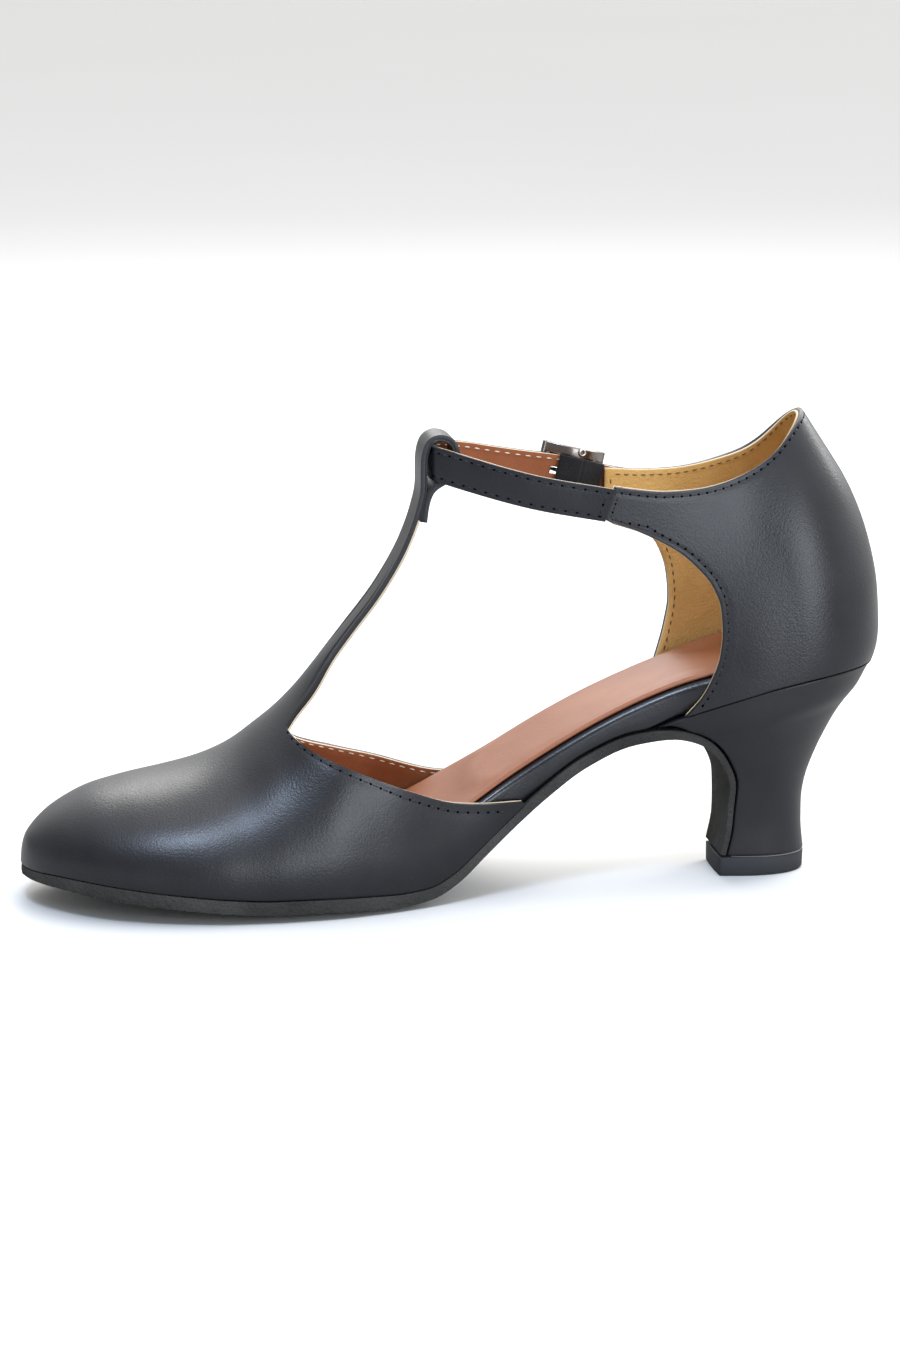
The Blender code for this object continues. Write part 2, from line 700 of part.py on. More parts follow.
def build_buckle(collection):
    """Arched frame with a centre bar, and the prong that lies on its front end."""
    centre, forward, outward, up = buckle_frame()
    along = (-9.75, -8.0, -4.5, -0.9, 0.9, 4.5, 8.0, 9.75)
    across = (-7.2, -5.3, 5.3, 7.2)
    rise = STRAP_WALL + 2 * GAP + 1.9

    def arch(a):
        return rise * min(max(abs(a) - 0.9, 0.0) / 7.6, 1.0) ** 1.5

    def frame(row, lane):
        return (centre + forward * along[row] + up * across[lane]
                + outward * (arch(along[row]) + BAR_HALF))

    def keep(row, lane):
        return lane != 1 or row in (0, 3, 6)

    form = bmesh.new()
    add_grid(form, len(along) - 1, len(across) - 1, frame, keep)
    shell("buckle_frame", form, 2 * BAR_HALF, "dark_metal", collection,
          lambda face: face.normal.dot(outward) > 0)

    radius = 0.55
    ring = BAR_HALF + GAP + radius + 0.2
    turn = [math.radians(d) for d in (300, 270, 240, 210, 180)]
    points = [(ring * math.cos(t) * 1.15, ring * math.sin(t)) for t in turn]
    tip = rise + BAR_HALF + GAP + radius
    points += [(-2.3, 2.2), (-3.2, 4.4), (-5.4, 5.9), (-9.6, tip)]
    line = bpy.data.curves.new("buckle_prong", "CURVE")
    line.dimensions = "3D"
    line.bevel_depth = radius * MM
    line.bevel_resolution = 2
    line.use_fill_caps = True
    spline = line.splines.new("POLY")
    spline.points.add(len(points) - 1)
    for knot, (a, n) in zip(spline.points, points):
        knot.co = (*place(centre + forward * a + outward * n), 1.0)
    new_object("buckle_prong", line, "dark_metal", collection)


def build_tab(collection):
    """Elastic tab from the lateral wing to the buckle's bar, with a slot for the prong."""
    centre, forward, outward, up = buckle_frame()
    wall = 1.1
    side = BAR_CORNER + GAP + wall
    start = Vector((LATERAL_WING_X - 1.2, COLLAR_HALF(LATERAL_WING_X) - 1.9, 108.6))
    inner = centre - outward * side
    route = [start, blend(start, inner + forward * 2.2, 0.5), inner + forward * 2.2]
    for degrees in (270, 235, 200, 165):
        t = math.radians(degrees)
        route.append(centre + forward * (side * math.cos(t)) + outward * (side * math.sin(t)))
    heights = (-4.4, -PRONG_LANE, PRONG_LANE, 4.4)

    def surface(row, lane):
        return route[row] + up * heights[lane]

    form = bmesh.new()
    add_grid(form, len(route) - 1, 3, surface, keep=lambda row, lane: lane != 1 or row < 2)
    return shell("buckle_tab", form, wall, "black_elastic", collection,
                 lambda face: face.normal.dot(face.calc_center_median() - place(centre)) > 0)


def sole_runs():
    """Lengths along the sole's path for its sections, closer at the toe and the turn."""
    toe, turn = SOLE_LENGTH * 0.15, SOLE_LENGTH * 0.7
    runs = [toe * (i / 10) ** 2 for i in range(10)]
    runs += [blend(toe, turn, i / 26) for i in range(26)]
    runs += [blend(turn, SOLE_LENGTH, i / 22) for i in range(23)]
    return runs


def build_sole(collection):
    """Outsole with toe spring, a flat tread, the waist and the flap down the heel."""
    shares = (-1.0, -TREAD_KNEE, -TREAD_FLAT, 0.0, TREAD_FLAT, TREAD_KNEE, 1.0)
    rings = []
    for run in sole_runs():
        x, z = SOLE_PATH["x"](run), SOLE_PATH["z"](run)
        ahead = (SOLE_PATH["x"](run + 0.5) - SOLE_PATH["x"](run - 0.5),
                 SOLE_PATH["z"](run + 0.5) - SOLE_PATH["z"](run - 0.5))
        size = math.hypot(*ahead)
        up = (-ahead[1] / size, ahead[0] / size)
        rise, thick = SOLE_PATH["rise"](run), SOLE_PATH["thick"](run)
        lower, upper = [], []
        for share in shares:
            if x < SOLE_FORE[-1].x - 3 and run < SOLE_LENGTH * 0.7:
                half = SOLE_HALF[-1 if share < 0 else 1](x)
            else:
                half = SOLE_PATH["medial" if share < 0 else "lateral"](run)
            y = share * half
            bottom = rise * edge_lift(abs(share))
            lower.append((x + up[0] * bottom, y, z + up[1] * bottom))
            top = bottom + thick
            upper.append((x + up[0] * top, y, z + up[1] * top))
        rings.append(lower + upper[::-1])
    return loft("outsole", rings, "rough_sole", collection)


def sole_top(x):
    """Height of the sole's upper side on its centre line."""
    return SOLE_Z(x) + SOLE_THICK(x) * math.hypot(1.0, sole_slope(x))


def sole_half(x, side):
    """Half width of the sole on one side."""
    return SOLE_HALF[side](min(x, SOLE_FORE[-1].x))


def sole_edge_lift(x, side, width):
    """How far the sole's upper side has risen at a distance from the middle."""
    share = min(width / sole_half(x, side), 1.0)
    lift = edge_lift(share)
    return SOLE_RISE(x) * lift if x < SOLE_FORE[-1].x else 0.0


def bed_base(x):
    """Height of what the insole board lies on."""
    seat = HEEL_ROWS[-1].front_x
    if x < seat - 14:
        return sole_top(x) + GAP
    return max(sole_top(min(x, seat)) + GAP, SEAM_Z(x))


def build_insole(collection):
    """Wrapped board with a rounded rim, and the padded sock that lies on it."""
    bed = column(BED_ROWS, "x", "z")
    half = {-1: column(BED_ROWS, "x", "medial"), 1: column(BED_ROWS, "x", "lateral")}
    first, last = BED_ROWS[0].x, BED_ROWS[-1].x
    stations = 40
    board, sock = [], []
    for i in range(stations + 1):
        x = blend(first, last, 0.5 - 0.5 * math.cos(math.pi * i / stations))
        base = bed_base(x) + 0.1
        top = bed(x) - SOCK_THICKNESS - GAP
        round_edge = min(2.5, (top - base) * 0.45)
        board.append([])
        sock.append([])
        for side in (-1, 1):
            width = half[side](x)
            inner = min(0.62 * sole_half(x, side), width * 0.8)
            edge = base + sole_edge_lift(x, side, width) + 0.5
            side_points = [(inner, base), (width * 0.985, edge), (width, edge + 0.8),
                           (width, top - round_edge),
                           (width - 0.4 * round_edge, top - 0.25 * round_edge),
                           (width - 1.2 * round_edge, top)]
            points = [(x, side * y, z) for y, z in side_points]
            board[-1] += points if side < 0 else points[::-1]
            width = width * 0.93 - 0.4
            side_points = [(width, top + GAP), (width, bed(x) - 0.6), (width - 1.0, bed(x))]
            points = [(x, side * y, z) for y, z in side_points]
            sock[-1] += points if side < 0 else points[::-1]
    loft("insole_board", board, "black_rim", collection)
    loft("insole", sock, "brown_sock", collection)


def breast_x(z):
    """Place of the flap's inner face on the heel's front at a height."""
    low, high = SOLE_LENGTH * 0.72, SOLE_LENGTH
    for _ in range(40):
        run = (low + high) / 2
        if sole_inner(run)[1] > z:
            low = run
        else:
            high = run
    return sole_inner(low)[0]


def sole_inner(run):
    """Place and height of the sole's upper side at a length along it."""
    x, z = SOLE_PATH["x"](run), SOLE_PATH["z"](run)
    ahead = (SOLE_PATH["x"](run + 0.5) - SOLE_PATH["x"](run - 0.5),
             SOLE_PATH["z"](run + 0.5) - SOLE_PATH["z"](run - 0.5))
    size = math.hypot(*ahead)
    up = (-ahead[1] / size, ahead[0] / size)
    thick = SOLE_PATH["thick"](run)
    return x + up[0] * thick, z + up[1] * thick


def heel_levels():
    """The heel's rows, with levels between them and their fronts against the flap."""
    places = list(range(len(HEEL_ROWS)))
    curves = {name: smooth(places, [getattr(row, name) for row in HEEL_ROWS])
              for name in HeelRow._fields}
    levels = []
    for i in range(2 * len(HEEL_ROWS) - 1):
        level = HeelRow(**{name: curve(i / 2) for name, curve in curves.items()})
        if i < 2 * len(HEEL_ROWS) - 3:
            level = level._replace(front_x=breast_x(level.front_z) + GAP)
        levels.append(level)
    return levels


def heel_ring(row, seat=False):
    """One level of the heel: straight front, flared sides and a rounded back."""
    near = []
    length = row.back_x - row.front_x
    reach = min(length * 0.62, 27.0)
    for i in range(HEEL_SIDE_POINTS):
        share = 1 - math.cos(math.pi / 2 * i / (HEEL_SIDE_POINTS - 1))
        x = row.back_x - (length - row.set_back) * share
        back = min((row.back_x - x) / reach, 1.0)
        round_back = (1 - (1 - back) ** BACK_POWER) ** (1 / BACK_POWER)
        ahead = min(max((x - row.front_x) / (length - reach * 0.8), 0.0), 1.0)
        half = blend(row.front_half, row.half, ahead * (2 - ahead))
        z = blend(row.front_z, row.back_z, (x - row.front_x) / length)
        if seat:
            z = SEAM_Z(x) - GAP
        near.append((x, half * round_back, z))
    front_z = SEAM_Z(row.front_x) - GAP if seat else row.front_z
    corner = 0.3 * row.front_half
    medial = [(x, -y, z) for x, y, z in near[:0:-1]]
    return ([(row.front_x, -corner, front_z)] + medial + near
            + [(row.front_x, corner, front_z)])


def build_heel(collection):
    """Covered heel with its waisted back line, and the top lift under it."""
    levels = heel_levels()
    rings = [heel_ring(row, seat=row is levels[-1]) for row in levels]
    loft("heel", rings, "heel_cover", collection)
    foot = HEEL_ROWS[0]
    lift = [foot._replace(front_x=194.2, front_z=z, back_z=z, back_x=foot.back_x + out,
                          half=foot.half + out, front_half=foot.front_half + out, set_back=0.3)
            for z, out in ((0.0, -0.6), (0.6, -0.2), (LIFT_TOP, 0.0))]
    loft("top_lift", [heel_ring(row) for row in lift], "lift_rubber", collection)


def main():
    """Clear the scene and build every piece of the shoe."""
    for thing in list(bpy.data.objects):
        bpy.data.objects.remove(thing, do_unlink=True)
    collection = bpy.data.collections.new("t_strap_shoe")
    bpy.context.scene.collection.children.link(collection)
    build_sole(collection)
    build_heel(collection)
    build_insole(collection)
    build_vamp(collection)
    build_counter(collection)
    build_strap(collection)
    build_buckle(collection)
    build_tab(collection)


main()
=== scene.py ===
"""Looks of a right T-strap shoe: leather, linings, stitches, sole, heel and buckle.

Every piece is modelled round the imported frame. Sizes are millimetres in a toe frame:
x runs from the toe tip to the back of the heel, y is negative on the inner (medial)
side and z is the height above the floor. Meshes are in metres, in the frame's place.
"""

import logging
import math
from bisect import bisect_right
from collections.abc import Callable, Sequence
from dataclasses import dataclass, field
from enum import Enum

import bmesh
import bpy
from mathutils import Matrix, Vector


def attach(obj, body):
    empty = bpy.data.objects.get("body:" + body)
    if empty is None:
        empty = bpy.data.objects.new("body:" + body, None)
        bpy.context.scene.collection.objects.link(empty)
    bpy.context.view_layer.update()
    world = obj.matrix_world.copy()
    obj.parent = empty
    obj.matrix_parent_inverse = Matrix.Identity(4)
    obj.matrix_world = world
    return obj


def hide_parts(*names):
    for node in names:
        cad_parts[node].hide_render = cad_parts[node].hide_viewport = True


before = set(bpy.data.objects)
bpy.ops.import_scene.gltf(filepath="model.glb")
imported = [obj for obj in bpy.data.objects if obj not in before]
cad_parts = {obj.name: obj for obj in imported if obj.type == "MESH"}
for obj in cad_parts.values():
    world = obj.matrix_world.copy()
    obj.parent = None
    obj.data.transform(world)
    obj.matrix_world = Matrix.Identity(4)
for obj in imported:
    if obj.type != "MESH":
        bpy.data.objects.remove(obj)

LOG = logging.getLogger("t_strap_shoe")
MM = 0.001
LENGTH = 240.0
GAP = 0.3
MERGE = 0.00001
PROBE = 0.002
SHARP_ANGLE = 50.0
PATCH_LOW = 0.35
PATCH_HIGH = 0.7

Curve = Callable[[float], float]
Point = tuple[float, float, float]
Surface = Callable[[float, float], Point]


def smooth(places: Sequence[float], values: Sequence[float]) -> Curve:
    """Make a monotone cubic curve through the values, straight beyond its ends.

    Args:
        places: rising places of the values.
        values: the values that the curve passes through.

    Returns:
        The curve as a function of the place.
    """
    count = len(places)
    steps = [places[i + 1] - places[i] for i in range(count - 1)]
    rates = [(values[i + 1] - values[i]) / steps[i] for i in range(count - 1)]
    slopes = [rates[0]] + [0.0] * (count - 2) + [rates[-1]]
    for i in range(1, count - 1):
        if rates[i - 1] * rates[i] > 0:
            before = 2 * steps[i] + steps[i - 1]
            after = steps[i] + 2 * steps[i - 1]
            slopes[i] = (before + after) / (before / rates[i - 1] + after / rates[i])

    def value(place: float) -> float:
        """Read the curve at a place."""
        if place <= places[0]:
            return values[0] + slopes[0] * (place - places[0])
        if place >= places[-1]:
            return values[-1] + slopes[-1] * (place - places[-1])
        i = min(bisect_right(places, place) - 1, count - 2)
        t = (place - places[i]) / steps[i]
        start = (1 + 2 * t) * (1 - t) ** 2 * values[i] + t * (1 - t) ** 2 * steps[i] * slopes[i]
        end = t * t * (3 - 2 * t) * values[i + 1] - t * t * (1 - t) * steps[i] * slopes[i + 1]
        return start + end

    return value


def softened(curve: Curve, width: float) -> Curve:
    """Average a curve over a short width, so that light runs evenly over it.

    Args:
        curve: the curve to soften.
        width: half the width of the average.

    Returns:
        The softened curve.
    """
    shares = (-1.0, -0.67, -0.33, 0.0, 0.33, 0.67, 1.0)
    return lambda place: sum(curve(place + share * width) for share in shares) / len(shares)


def columns(names: str, rows: Sequence[Sequence[float]]) -> dict[str, list[float]]:
    """Turn rows of a table into lists, one for each named column."""
    return {name: [row[i] for row in rows] for i, name in enumerate(names.split())}


def along(table: dict[str, list[float]], names: Sequence[str]) -> tuple[dict[str, Curve], float]:
    """Run every column of a table over the length of its path.

    Args:
        table: the named columns.
        names: the columns that are the coordinates of the path.

    Returns:
        The curves of all the columns over the length, and the whole length.
    """
    lengths = [0.0]
    for i in range(len(table[names[0]]) - 1):
        lengths.append(lengths[-1] + math.hypot(*(table[n][i + 1] - table[n][i] for n in names)))
    return {name: smooth(lengths, values) for name, values in table.items()}, lengths[-1]


def blend(first: float, second: float, share: float) -> float:
    """Return the value at a share of the way from the first to the second."""
    return first + (second - first) * share


def clamp(value: float) -> float:
    """Keep a value between nought and one."""
    return min(max(value, 0.0), 1.0)


def place(point: Sequence[float]) -> Vector:
    """Turn a toe-frame point in millimetres into a place in metres."""
    return Vector(((point[0] - LENGTH / 2) * MM, point[1] * MM, point[2] * MM))


def groove(distance: float, middle: float, width: float) -> float:
    """Return the depth share of a soft trough at a distance from an edge."""
    return math.exp(-((distance - middle) / width) ** 2)


class Effect(Enum):
    """Surface effects that several finishes share, each one shader node group."""

    GRAIN = "pebble_grain"
    NAP = "suede_nap"
    WEAVE = "elastic_weave"


@dataclass(frozen=True)
class Noise:
    """One layer of noise: its share of the effect's scale, its octaves and its roughness."""

    share: float
    detail: float
    rough: float


PATCH_NOISE = Noise(0.04, 3.0, 0.55)
PORE_NOISE = Noise(1.6, 4.0, 0.7)
TUFT_NOISE = Noise(0.45, 3.0, 0.6)


class EffectGroups:
    """Builds each shared effect once and hands it to the finishes."""

    def __init__(self) -> None:
        """Start with no group made."""
        self.made: dict[Effect, bpy.types.NodeTree] = {}

    def get(self, effect: Effect) -> bpy.types.NodeTree:
        """Return the node group of an effect, making it on first use."""
        if effect not in self.made:
            tree = bpy.data.node_groups.new(effect.value, "ShaderNodeTree")
            tree.interface.new_socket("Vector", in_out="INPUT", socket_type="NodeSocketVector")
            tree.interface.new_socket("Scale", in_out="INPUT", socket_type="NodeSocketFloat")
            tree.interface.new_socket("Height", in_out="OUTPUT", socket_type="NodeSocketFloat")
            tree.interface.new_socket("Patches", in_out="OUTPUT", socket_type="NodeSocketFloat")
            source = tree.nodes.new("NodeGroupInput")
            target = tree.nodes.new("NodeGroupOutput")
            if effect is Effect.WEAVE:
                height = self.weave(tree, source)
            else:
                height = self.pores(tree, source, effect)
            tree.links.new(height, target.inputs["Height"])
            patches = self.noise(tree, source, PATCH_NOISE)
            tree.links.new(patches, target.inputs["Patches"])
            self.made[effect] = tree
        return self.made[effect]

    @staticmethod
    def math(tree: bpy.types.NodeTree, kind: str, first: bpy.types.NodeSocket,
             second: bpy.types.NodeSocket | float) -> bpy.types.NodeSocket:
        """Add a math node.

        Args:
            tree: the node tree.
            kind: the operation of the node.
            first: the socket of its first input.
            second: the socket or the number of its second input.

        Returns:
            The node's output socket.
        """
        node = tree.nodes.new("ShaderNodeMath")
        node.operation = kind
        tree.links.new(first, node.inputs[0])
        if isinstance(second, float):
            node.inputs[1].default_value = second
        else:
            tree.links.new(second, node.inputs[1])
        return node.outputs[0]

    def noise(self, tree: bpy.types.NodeTree, source: bpy.types.Node,
              layer: Noise) -> bpy.types.NodeSocket:
        """Add a layer of noise.

        Args:
            tree: the node tree.
            source: the group's input node.
            layer: the noise's scale, octaves and roughness.

        Returns:
            The socket with the noise.
        """
        node = tree.nodes.new("ShaderNodeTexNoise")
        node.inputs["Detail"].default_value = layer.detail
        node.inputs["Roughness"].default_value = layer.rough
        tree.links.new(source.outputs["Vector"], node.inputs["Vector"])
        scale = self.math(tree, "MULTIPLY", source.outputs["Scale"], layer.share)
        tree.links.new(scale, node.inputs["Scale"])
        return node.outputs["Fac"]

    def pores(self, tree: bpy.types.NodeTree, source: bpy.types.Node,
              effect: Effect) -> bpy.types.NodeSocket:
        """Add the height of leather cells, or of a suede's short nap.

        Args:
            tree: the node tree.
            source: the group's input node.
            effect: grain or nap.

        Returns:
            The socket with the height.
        """
        fine = self.noise(tree, source, PORE_NOISE)
        if effect is Effect.NAP:
            coarse = self.noise(tree, source, TUFT_NOISE)
            return self.math(tree, "ADD", fine, coarse)
        cells = tree.nodes.new("ShaderNodeTexVoronoi")
        cells.feature = "SMOOTH_F1"
        tree.links.new(source.outputs["Vector"], cells.inputs["Vector"])
        tree.links.new(source.outputs["Scale"], cells.inputs["Scale"])
        small = self.math(tree, "MULTIPLY", fine, 0.5)
        return self.math(tree, "SUBTRACT", small, cells.outputs["Distance"])

    def weave(self, tree: bpy.types.NodeTree, source: bpy.types.Node) -> bpy.types.NodeSocket:
        """Add the height of crossing threads.

        Args:
            tree: the node tree.
            source: the group's input node.

        Returns:
            The socket with the height.
        """
        heights = []
        for direction in ("X", "Y"):
            wave = tree.nodes.new("ShaderNodeTexWave")
            wave.bands_direction = direction
            tree.links.new(source.outputs["Vector"], wave.inputs["Vector"])
            tree.links.new(source.outputs["Scale"], wave.inputs["Scale"])
            heights.append(wave.outputs["Fac"])
        return self.math(tree, "MAXIMUM", *heights)


EFFECTS = EffectGroups()


@dataclass(frozen=True)
class Finish:
    """One surface finish, from its colours to the size of its grain."""

    name: str
    colour: tuple[float, float, float]
    worn: tuple[float, float, float]
    roughness: float
    effect: Effect = Effect.GRAIN
    scale: float = 1500.0
    depth: float = 0.03
    spread: float = 0.08
    metallic: float = 0.0
    coat: float = 0.0
    coat_roughness: float = 0.2
    sheen: float = 0.0
    specular: float = 0.5
    flow: bool = False

    def make(self) -> bpy.types.Material:
        """Return the material of this finish, making it on first use."""
        if self.name in bpy.data.materials:
            return bpy.data.materials[self.name]
        material = bpy.data.materials.new(self.name)
        material.use_nodes = True
        tree = material.node_tree
        shader = tree.nodes["Principled BSDF"]
        places = tree.nodes.new("ShaderNodeTexCoord")
        group = tree.nodes.new("ShaderNodeGroup")
        group.node_tree = EFFECTS.get(self.effect)
        group.inputs["Scale"].default_value = self.scale
        tree.links.new(places.outputs["UV" if self.flow else "Object"], group.inputs["Vector"])
        self.paint(tree, group, shader)
        shader.inputs["Metallic"].default_value = self.metallic
        shader.inputs["Coat Weight"].default_value = self.coat
        shader.inputs["Coat Roughness"].default_value = self.coat_roughness
        shader.inputs["Sheen Weight"].default_value = self.sheen
        shader.inputs["Specular IOR Level"].default_value = self.specular
        return material

    def paint(self, tree: bpy.types.NodeTree, group: bpy.types.Node, shader: bpy.types.Node) -> None:
        """Wire the effect's patches and height into colour, roughness and bump.

        Args:
            tree: the material's node tree.
            group: the node of the shared effect.
            shader: the Principled BSDF.
        """
        mix = tree.nodes.new("ShaderNodeMix")
        mix.data_type = "RGBA"
        mix.inputs["A"].default_value = (*self.colour, 1.0)
        mix.inputs["B"].default_value = (*self.worn, 1.0)
        contrast = tree.nodes.new("ShaderNodeMapRange")
        contrast.inputs["From Min"].default_value = PATCH_LOW
        contrast.inputs["From Max"].default_value = PATCH_HIGH
        tree.links.new(group.outputs["Patches"], contrast.inputs["Value"])
        tree.links.new(contrast.outputs["Result"], mix.inputs["Factor"])
        tree.links.new(mix.outputs["Result"], shader.inputs["Base Color"])
        gloss = tree.nodes.new("ShaderNodeMapRange")
        gloss.inputs["To Min"].default_value = self.roughness - self.spread
        gloss.inputs["To Max"].default_value = self.roughness + self.spread
        tree.links.new(group.outputs["Patches"], gloss.inputs["Value"])
        tree.links.new(gloss.outputs["Result"], shader.inputs["Roughness"])
        bump = tree.nodes.new("ShaderNodeBump")
        bump.inputs["Distance"].default_value = self.depth * MM
        tree.links.new(group.outputs["Height"], bump.inputs["Height"])
        tree.links.new(bump.outputs["Normal"], shader.inputs["Normal"])


NAVY_LEATHER = Finish("navy_leather", (0.0080, 0.0087, 0.0118), (0.013, 0.0140, 0.018), 0.37,
                      scale=1800.0, depth=0.045, coat=0.10, coat_roughness=0.3, specular=0.5)
BROWN_LINING = Finish("brown_lining", (0.28, 0.085, 0.030), (0.34, 0.115, 0.045), 0.62,
                      scale=1700.0, depth=0.03, specular=0.3)
TAN_SUEDE = Finish("tan_suede", (0.72, 0.43, 0.135), (0.88, 0.56, 0.21), 0.92,
                   effect=Effect.NAP, scale=950.0, depth=0.34, sheen=0.02, specular=0.06)
CREAM_EDGE = Finish("cream_edge", (0.68, 0.55, 0.38), (0.78, 0.66, 0.49), 0.8,
                    effect=Effect.NAP, depth=0.03)
BROWN_SOCK = Finish("brown_sock", (0.29, 0.098, 0.040), (0.37, 0.150, 0.078), 0.44,
                    scale=1300.0, depth=0.04, coat=0.06, coat_roughness=0.35, specular=0.38)
BLACK_RIM = Finish("black_rim", (0.006, 0.007, 0.010), (0.009, 0.010, 0.014), 0.3,
                   scale=1700.0, depth=0.03, coat=0.25, coat_roughness=0.22)
ROUGH_SOLE = Finish("rough_sole", (0.044, 0.043, 0.041), (0.096, 0.093, 0.088), 0.95,
                    effect=Effect.NAP, scale=700.0, depth=0.8, spread=0.03, specular=0.12)
HEEL_COVER = Finish("heel_cover", (0.0115, 0.0120, 0.0145), (0.0165, 0.0172, 0.0205), 0.44,
                    scale=1500.0, depth=0.02, coat=0.08, coat_roughness=0.35, specular=0.5)
LIFT_RUBBER = Finish("lift_rubber", (0.034, 0.036, 0.040), (0.048, 0.050, 0.055), 0.7,
                     effect=Effect.NAP, scale=900.0, depth=0.04, specular=0.3)
PALE_GLUE = Finish("pale_glue_line", (0.16, 0.16, 0.16), (0.24, 0.24, 0.23), 0.6,
                   effect=Effect.NAP, depth=0.03)
GUNMETAL = Finish("gunmetal", (0.20, 0.175, 0.160), (0.26, 0.235, 0.220), 0.26,
                  scale=700.0, depth=0.004, spread=0.06, metallic=1.0)
BRIGHT_STEEL = Finish("bright_steel", (0.62, 0.60, 0.57), (0.70, 0.68, 0.65), 0.2,
                      scale=700.0, depth=0.004, spread=0.05, metallic=1.0)
BLACK_ELASTIC = Finish("black_elastic", (0.012, 0.012, 0.014), (0.060, 0.060, 0.066), 0.85,
                       effect=Effect.WEAVE, scale=9.0, depth=0.4, specular=0.3, flow=True)
NAVY_THREAD = Finish("navy_thread", (0.010, 0.013, 0.026), (0.018, 0.023, 0.042), 0.5,
                     effect=Effect.NAP, scale=2600.0, depth=0.05)
# Near-black finish of the needle holes: painted shade that stands for the dark inside of each hole.
NEEDLE_HOLE_SHADE = Finish("needle_hole_painted_shade", (0.0012, 0.0012, 0.0016), (0.002, 0.002, 0.003), 0.95,
                     effect=Effect.NAP, scale=2600.0, depth=0.02, specular=0.05)
CREAM_THREAD = Finish("cream_thread", (0.72, 0.66, 0.55), (0.80, 0.75, 0.65), 0.6,
                      effect=Effect.NAP, scale=2600.0, depth=0.05)
DARK_THREAD = Finish("dark_thread", (0.10, 0.075, 0.045), (0.14, 0.11, 0.07), 0.6,
                     effect=Effect.NAP, scale=2600.0, depth=0.05)
STUDIO_FLOOR = Finish("studio_floor", (0.77, 0.77, 0.76), (0.79, 0.79, 0.78), 0.6,
                      effect=Effect.NAP, scale=40.0, depth=0.0, specular=0.2)


class Piece:
    """A visible piece under way: a bmesh with its own UV map, then an object."""

    def __init__(self, name: str) -> None:
        """Start an empty piece.

        Args:
            name: name of the finished piece.
        """
        self.name = name
        self.form = bmesh.new()
        self.form.loops.layers.uv.new("flow")

    def grid(self, rows: int, lanes: int, surface: Surface,
             keep: Callable[[int, int], bool] | None = None) -> None:
        """Add a grid and lay each of its points on a surface.

        Args:
            rows: cells along the first direction.
            lanes: cells along the second direction.
            surface: gives the toe-frame point for shares of the two directions.
            keep: says whether a cell stays.
        """
        made = bmesh.ops.create_grid(self.form, x_segments=rows, y_segments=lanes, size=0.5,
                                     calc_uvs=True)["verts"]
        if keep:
            dropped = []
            for cell in {face for vertex in made for face in vertex.link_faces}:
                middle = cell.calc_center_median()
                if not keep(int((middle.x + 0.5) * rows), int((middle.y + 0.5) * lanes)):
                    dropped.append(cell)
            bmesh.ops.delete(self.form, geom=dropped, context="FACES")
        for vertex in made:
            if vertex.is_valid:
                vertex.co = place(surface(vertex.co.x + 0.5, vertex.co.y + 0.5))

    def merge(self, outward: Callable[[Vector], Vector] | None = None) -> None:
        """Merge doubles and turn the faces outwards.

        Args:
            outward: gives the outward direction at a place, for an open surface.
        """
        bmesh.ops.remove_doubles(self.form, verts=self.form.verts, dist=MERGE)
        bmesh.ops.recalc_face_normals(self.form, faces=self.form.faces)
        self.form.normal_update()
        if outward:
            test = max(self.form.faces, key=lambda face: face.calc_area())
            if test.normal.dot(outward(test.calc_center_median())) < 0:
                bmesh.ops.reverse_faces(self.form, faces=self.form.faces)
        self.form.normal_update()

    def sink(self, depth: float) -> None:
        """Move an open surface inwards by a depth in millimetres."""
        for vertex in self.form.verts:
            vertex.co -= vertex.normal * depth * MM

    def close_ends(self) -> None:
        """Close the open ends of a tube of rings."""
        bmesh.ops.remove_doubles(self.form, verts=self.form.verts, dist=MERGE)
        edges = [edge for edge in self.form.edges if edge.is_boundary]
        bmesh.ops.holes_fill(self.form, edges=edges, sides=0)

    def finish(self, finish: Finish, slot: str, replaces: Sequence[str] = (), wall: float = 0.0,
               rim: Finish | None = None, round_edge: float = 0.0, steps: int = 3) -> bpy.types.Object:
        """Turn the piece into an object that rides on the shoe.

        Args:
            finish: finish of its surface.
            slot: the record's material slot that it belongs to.
            replaces: the frame nodes that it stands for.
            wall: thickness of the wall inwards, in millimetres.
            rim: finish of the wall's rim, where it has its own.
            round_edge: radius of the rounded edges, in millimetres.
            steps: segments of the rounding.

        Returns:
            The finished object.
        """
        mesh = bpy.data.meshes.new(self.name)
        self.form.to_mesh(mesh)
        self.form.free()
        mesh.shade_smooth()
        thing = bpy.data.objects.new(self.name, mesh)
        bpy.context.scene.collection.objects.link(thing)
        mesh.materials.append(finish.make())
        if rim:
            mesh.materials.append(rim.make())
        if wall:
            solid = thing.modifiers.new("wall", "SOLIDIFY")
            solid.thickness = wall * MM
            solid.offset = -1.0
            solid.material_offset_rim = 1 if rim else 0
        if round_edge:
            bevel = thing.modifiers.new("rounded_edges", "BEVEL")
            bevel.width = round_edge * MM
            bevel.segments = steps
            bevel.limit_method = "ANGLE"
            bevel.angle_limit = math.radians(SHARP_ANGLE)
            bevel.use_clamp_overlap = True
        report(thing, slot, replaces)
        return thing


def report(thing: bpy.types.Object, slot: str, replaces: Sequence[str] = ()) -> None:
    """Let a piece ride on the shoe, hide the frame nodes that it stands for and log it.

    Args:
        thing: the finished object.
        slot: the record's material slot; not used.
        replaces: the frame nodes that it stands for.
    """
    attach(thing, "root")
    if replaces:
        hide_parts(*replaces)
    LOG.info("%s: %d faces before its modifiers", thing.name, len(thing.data.polygons))


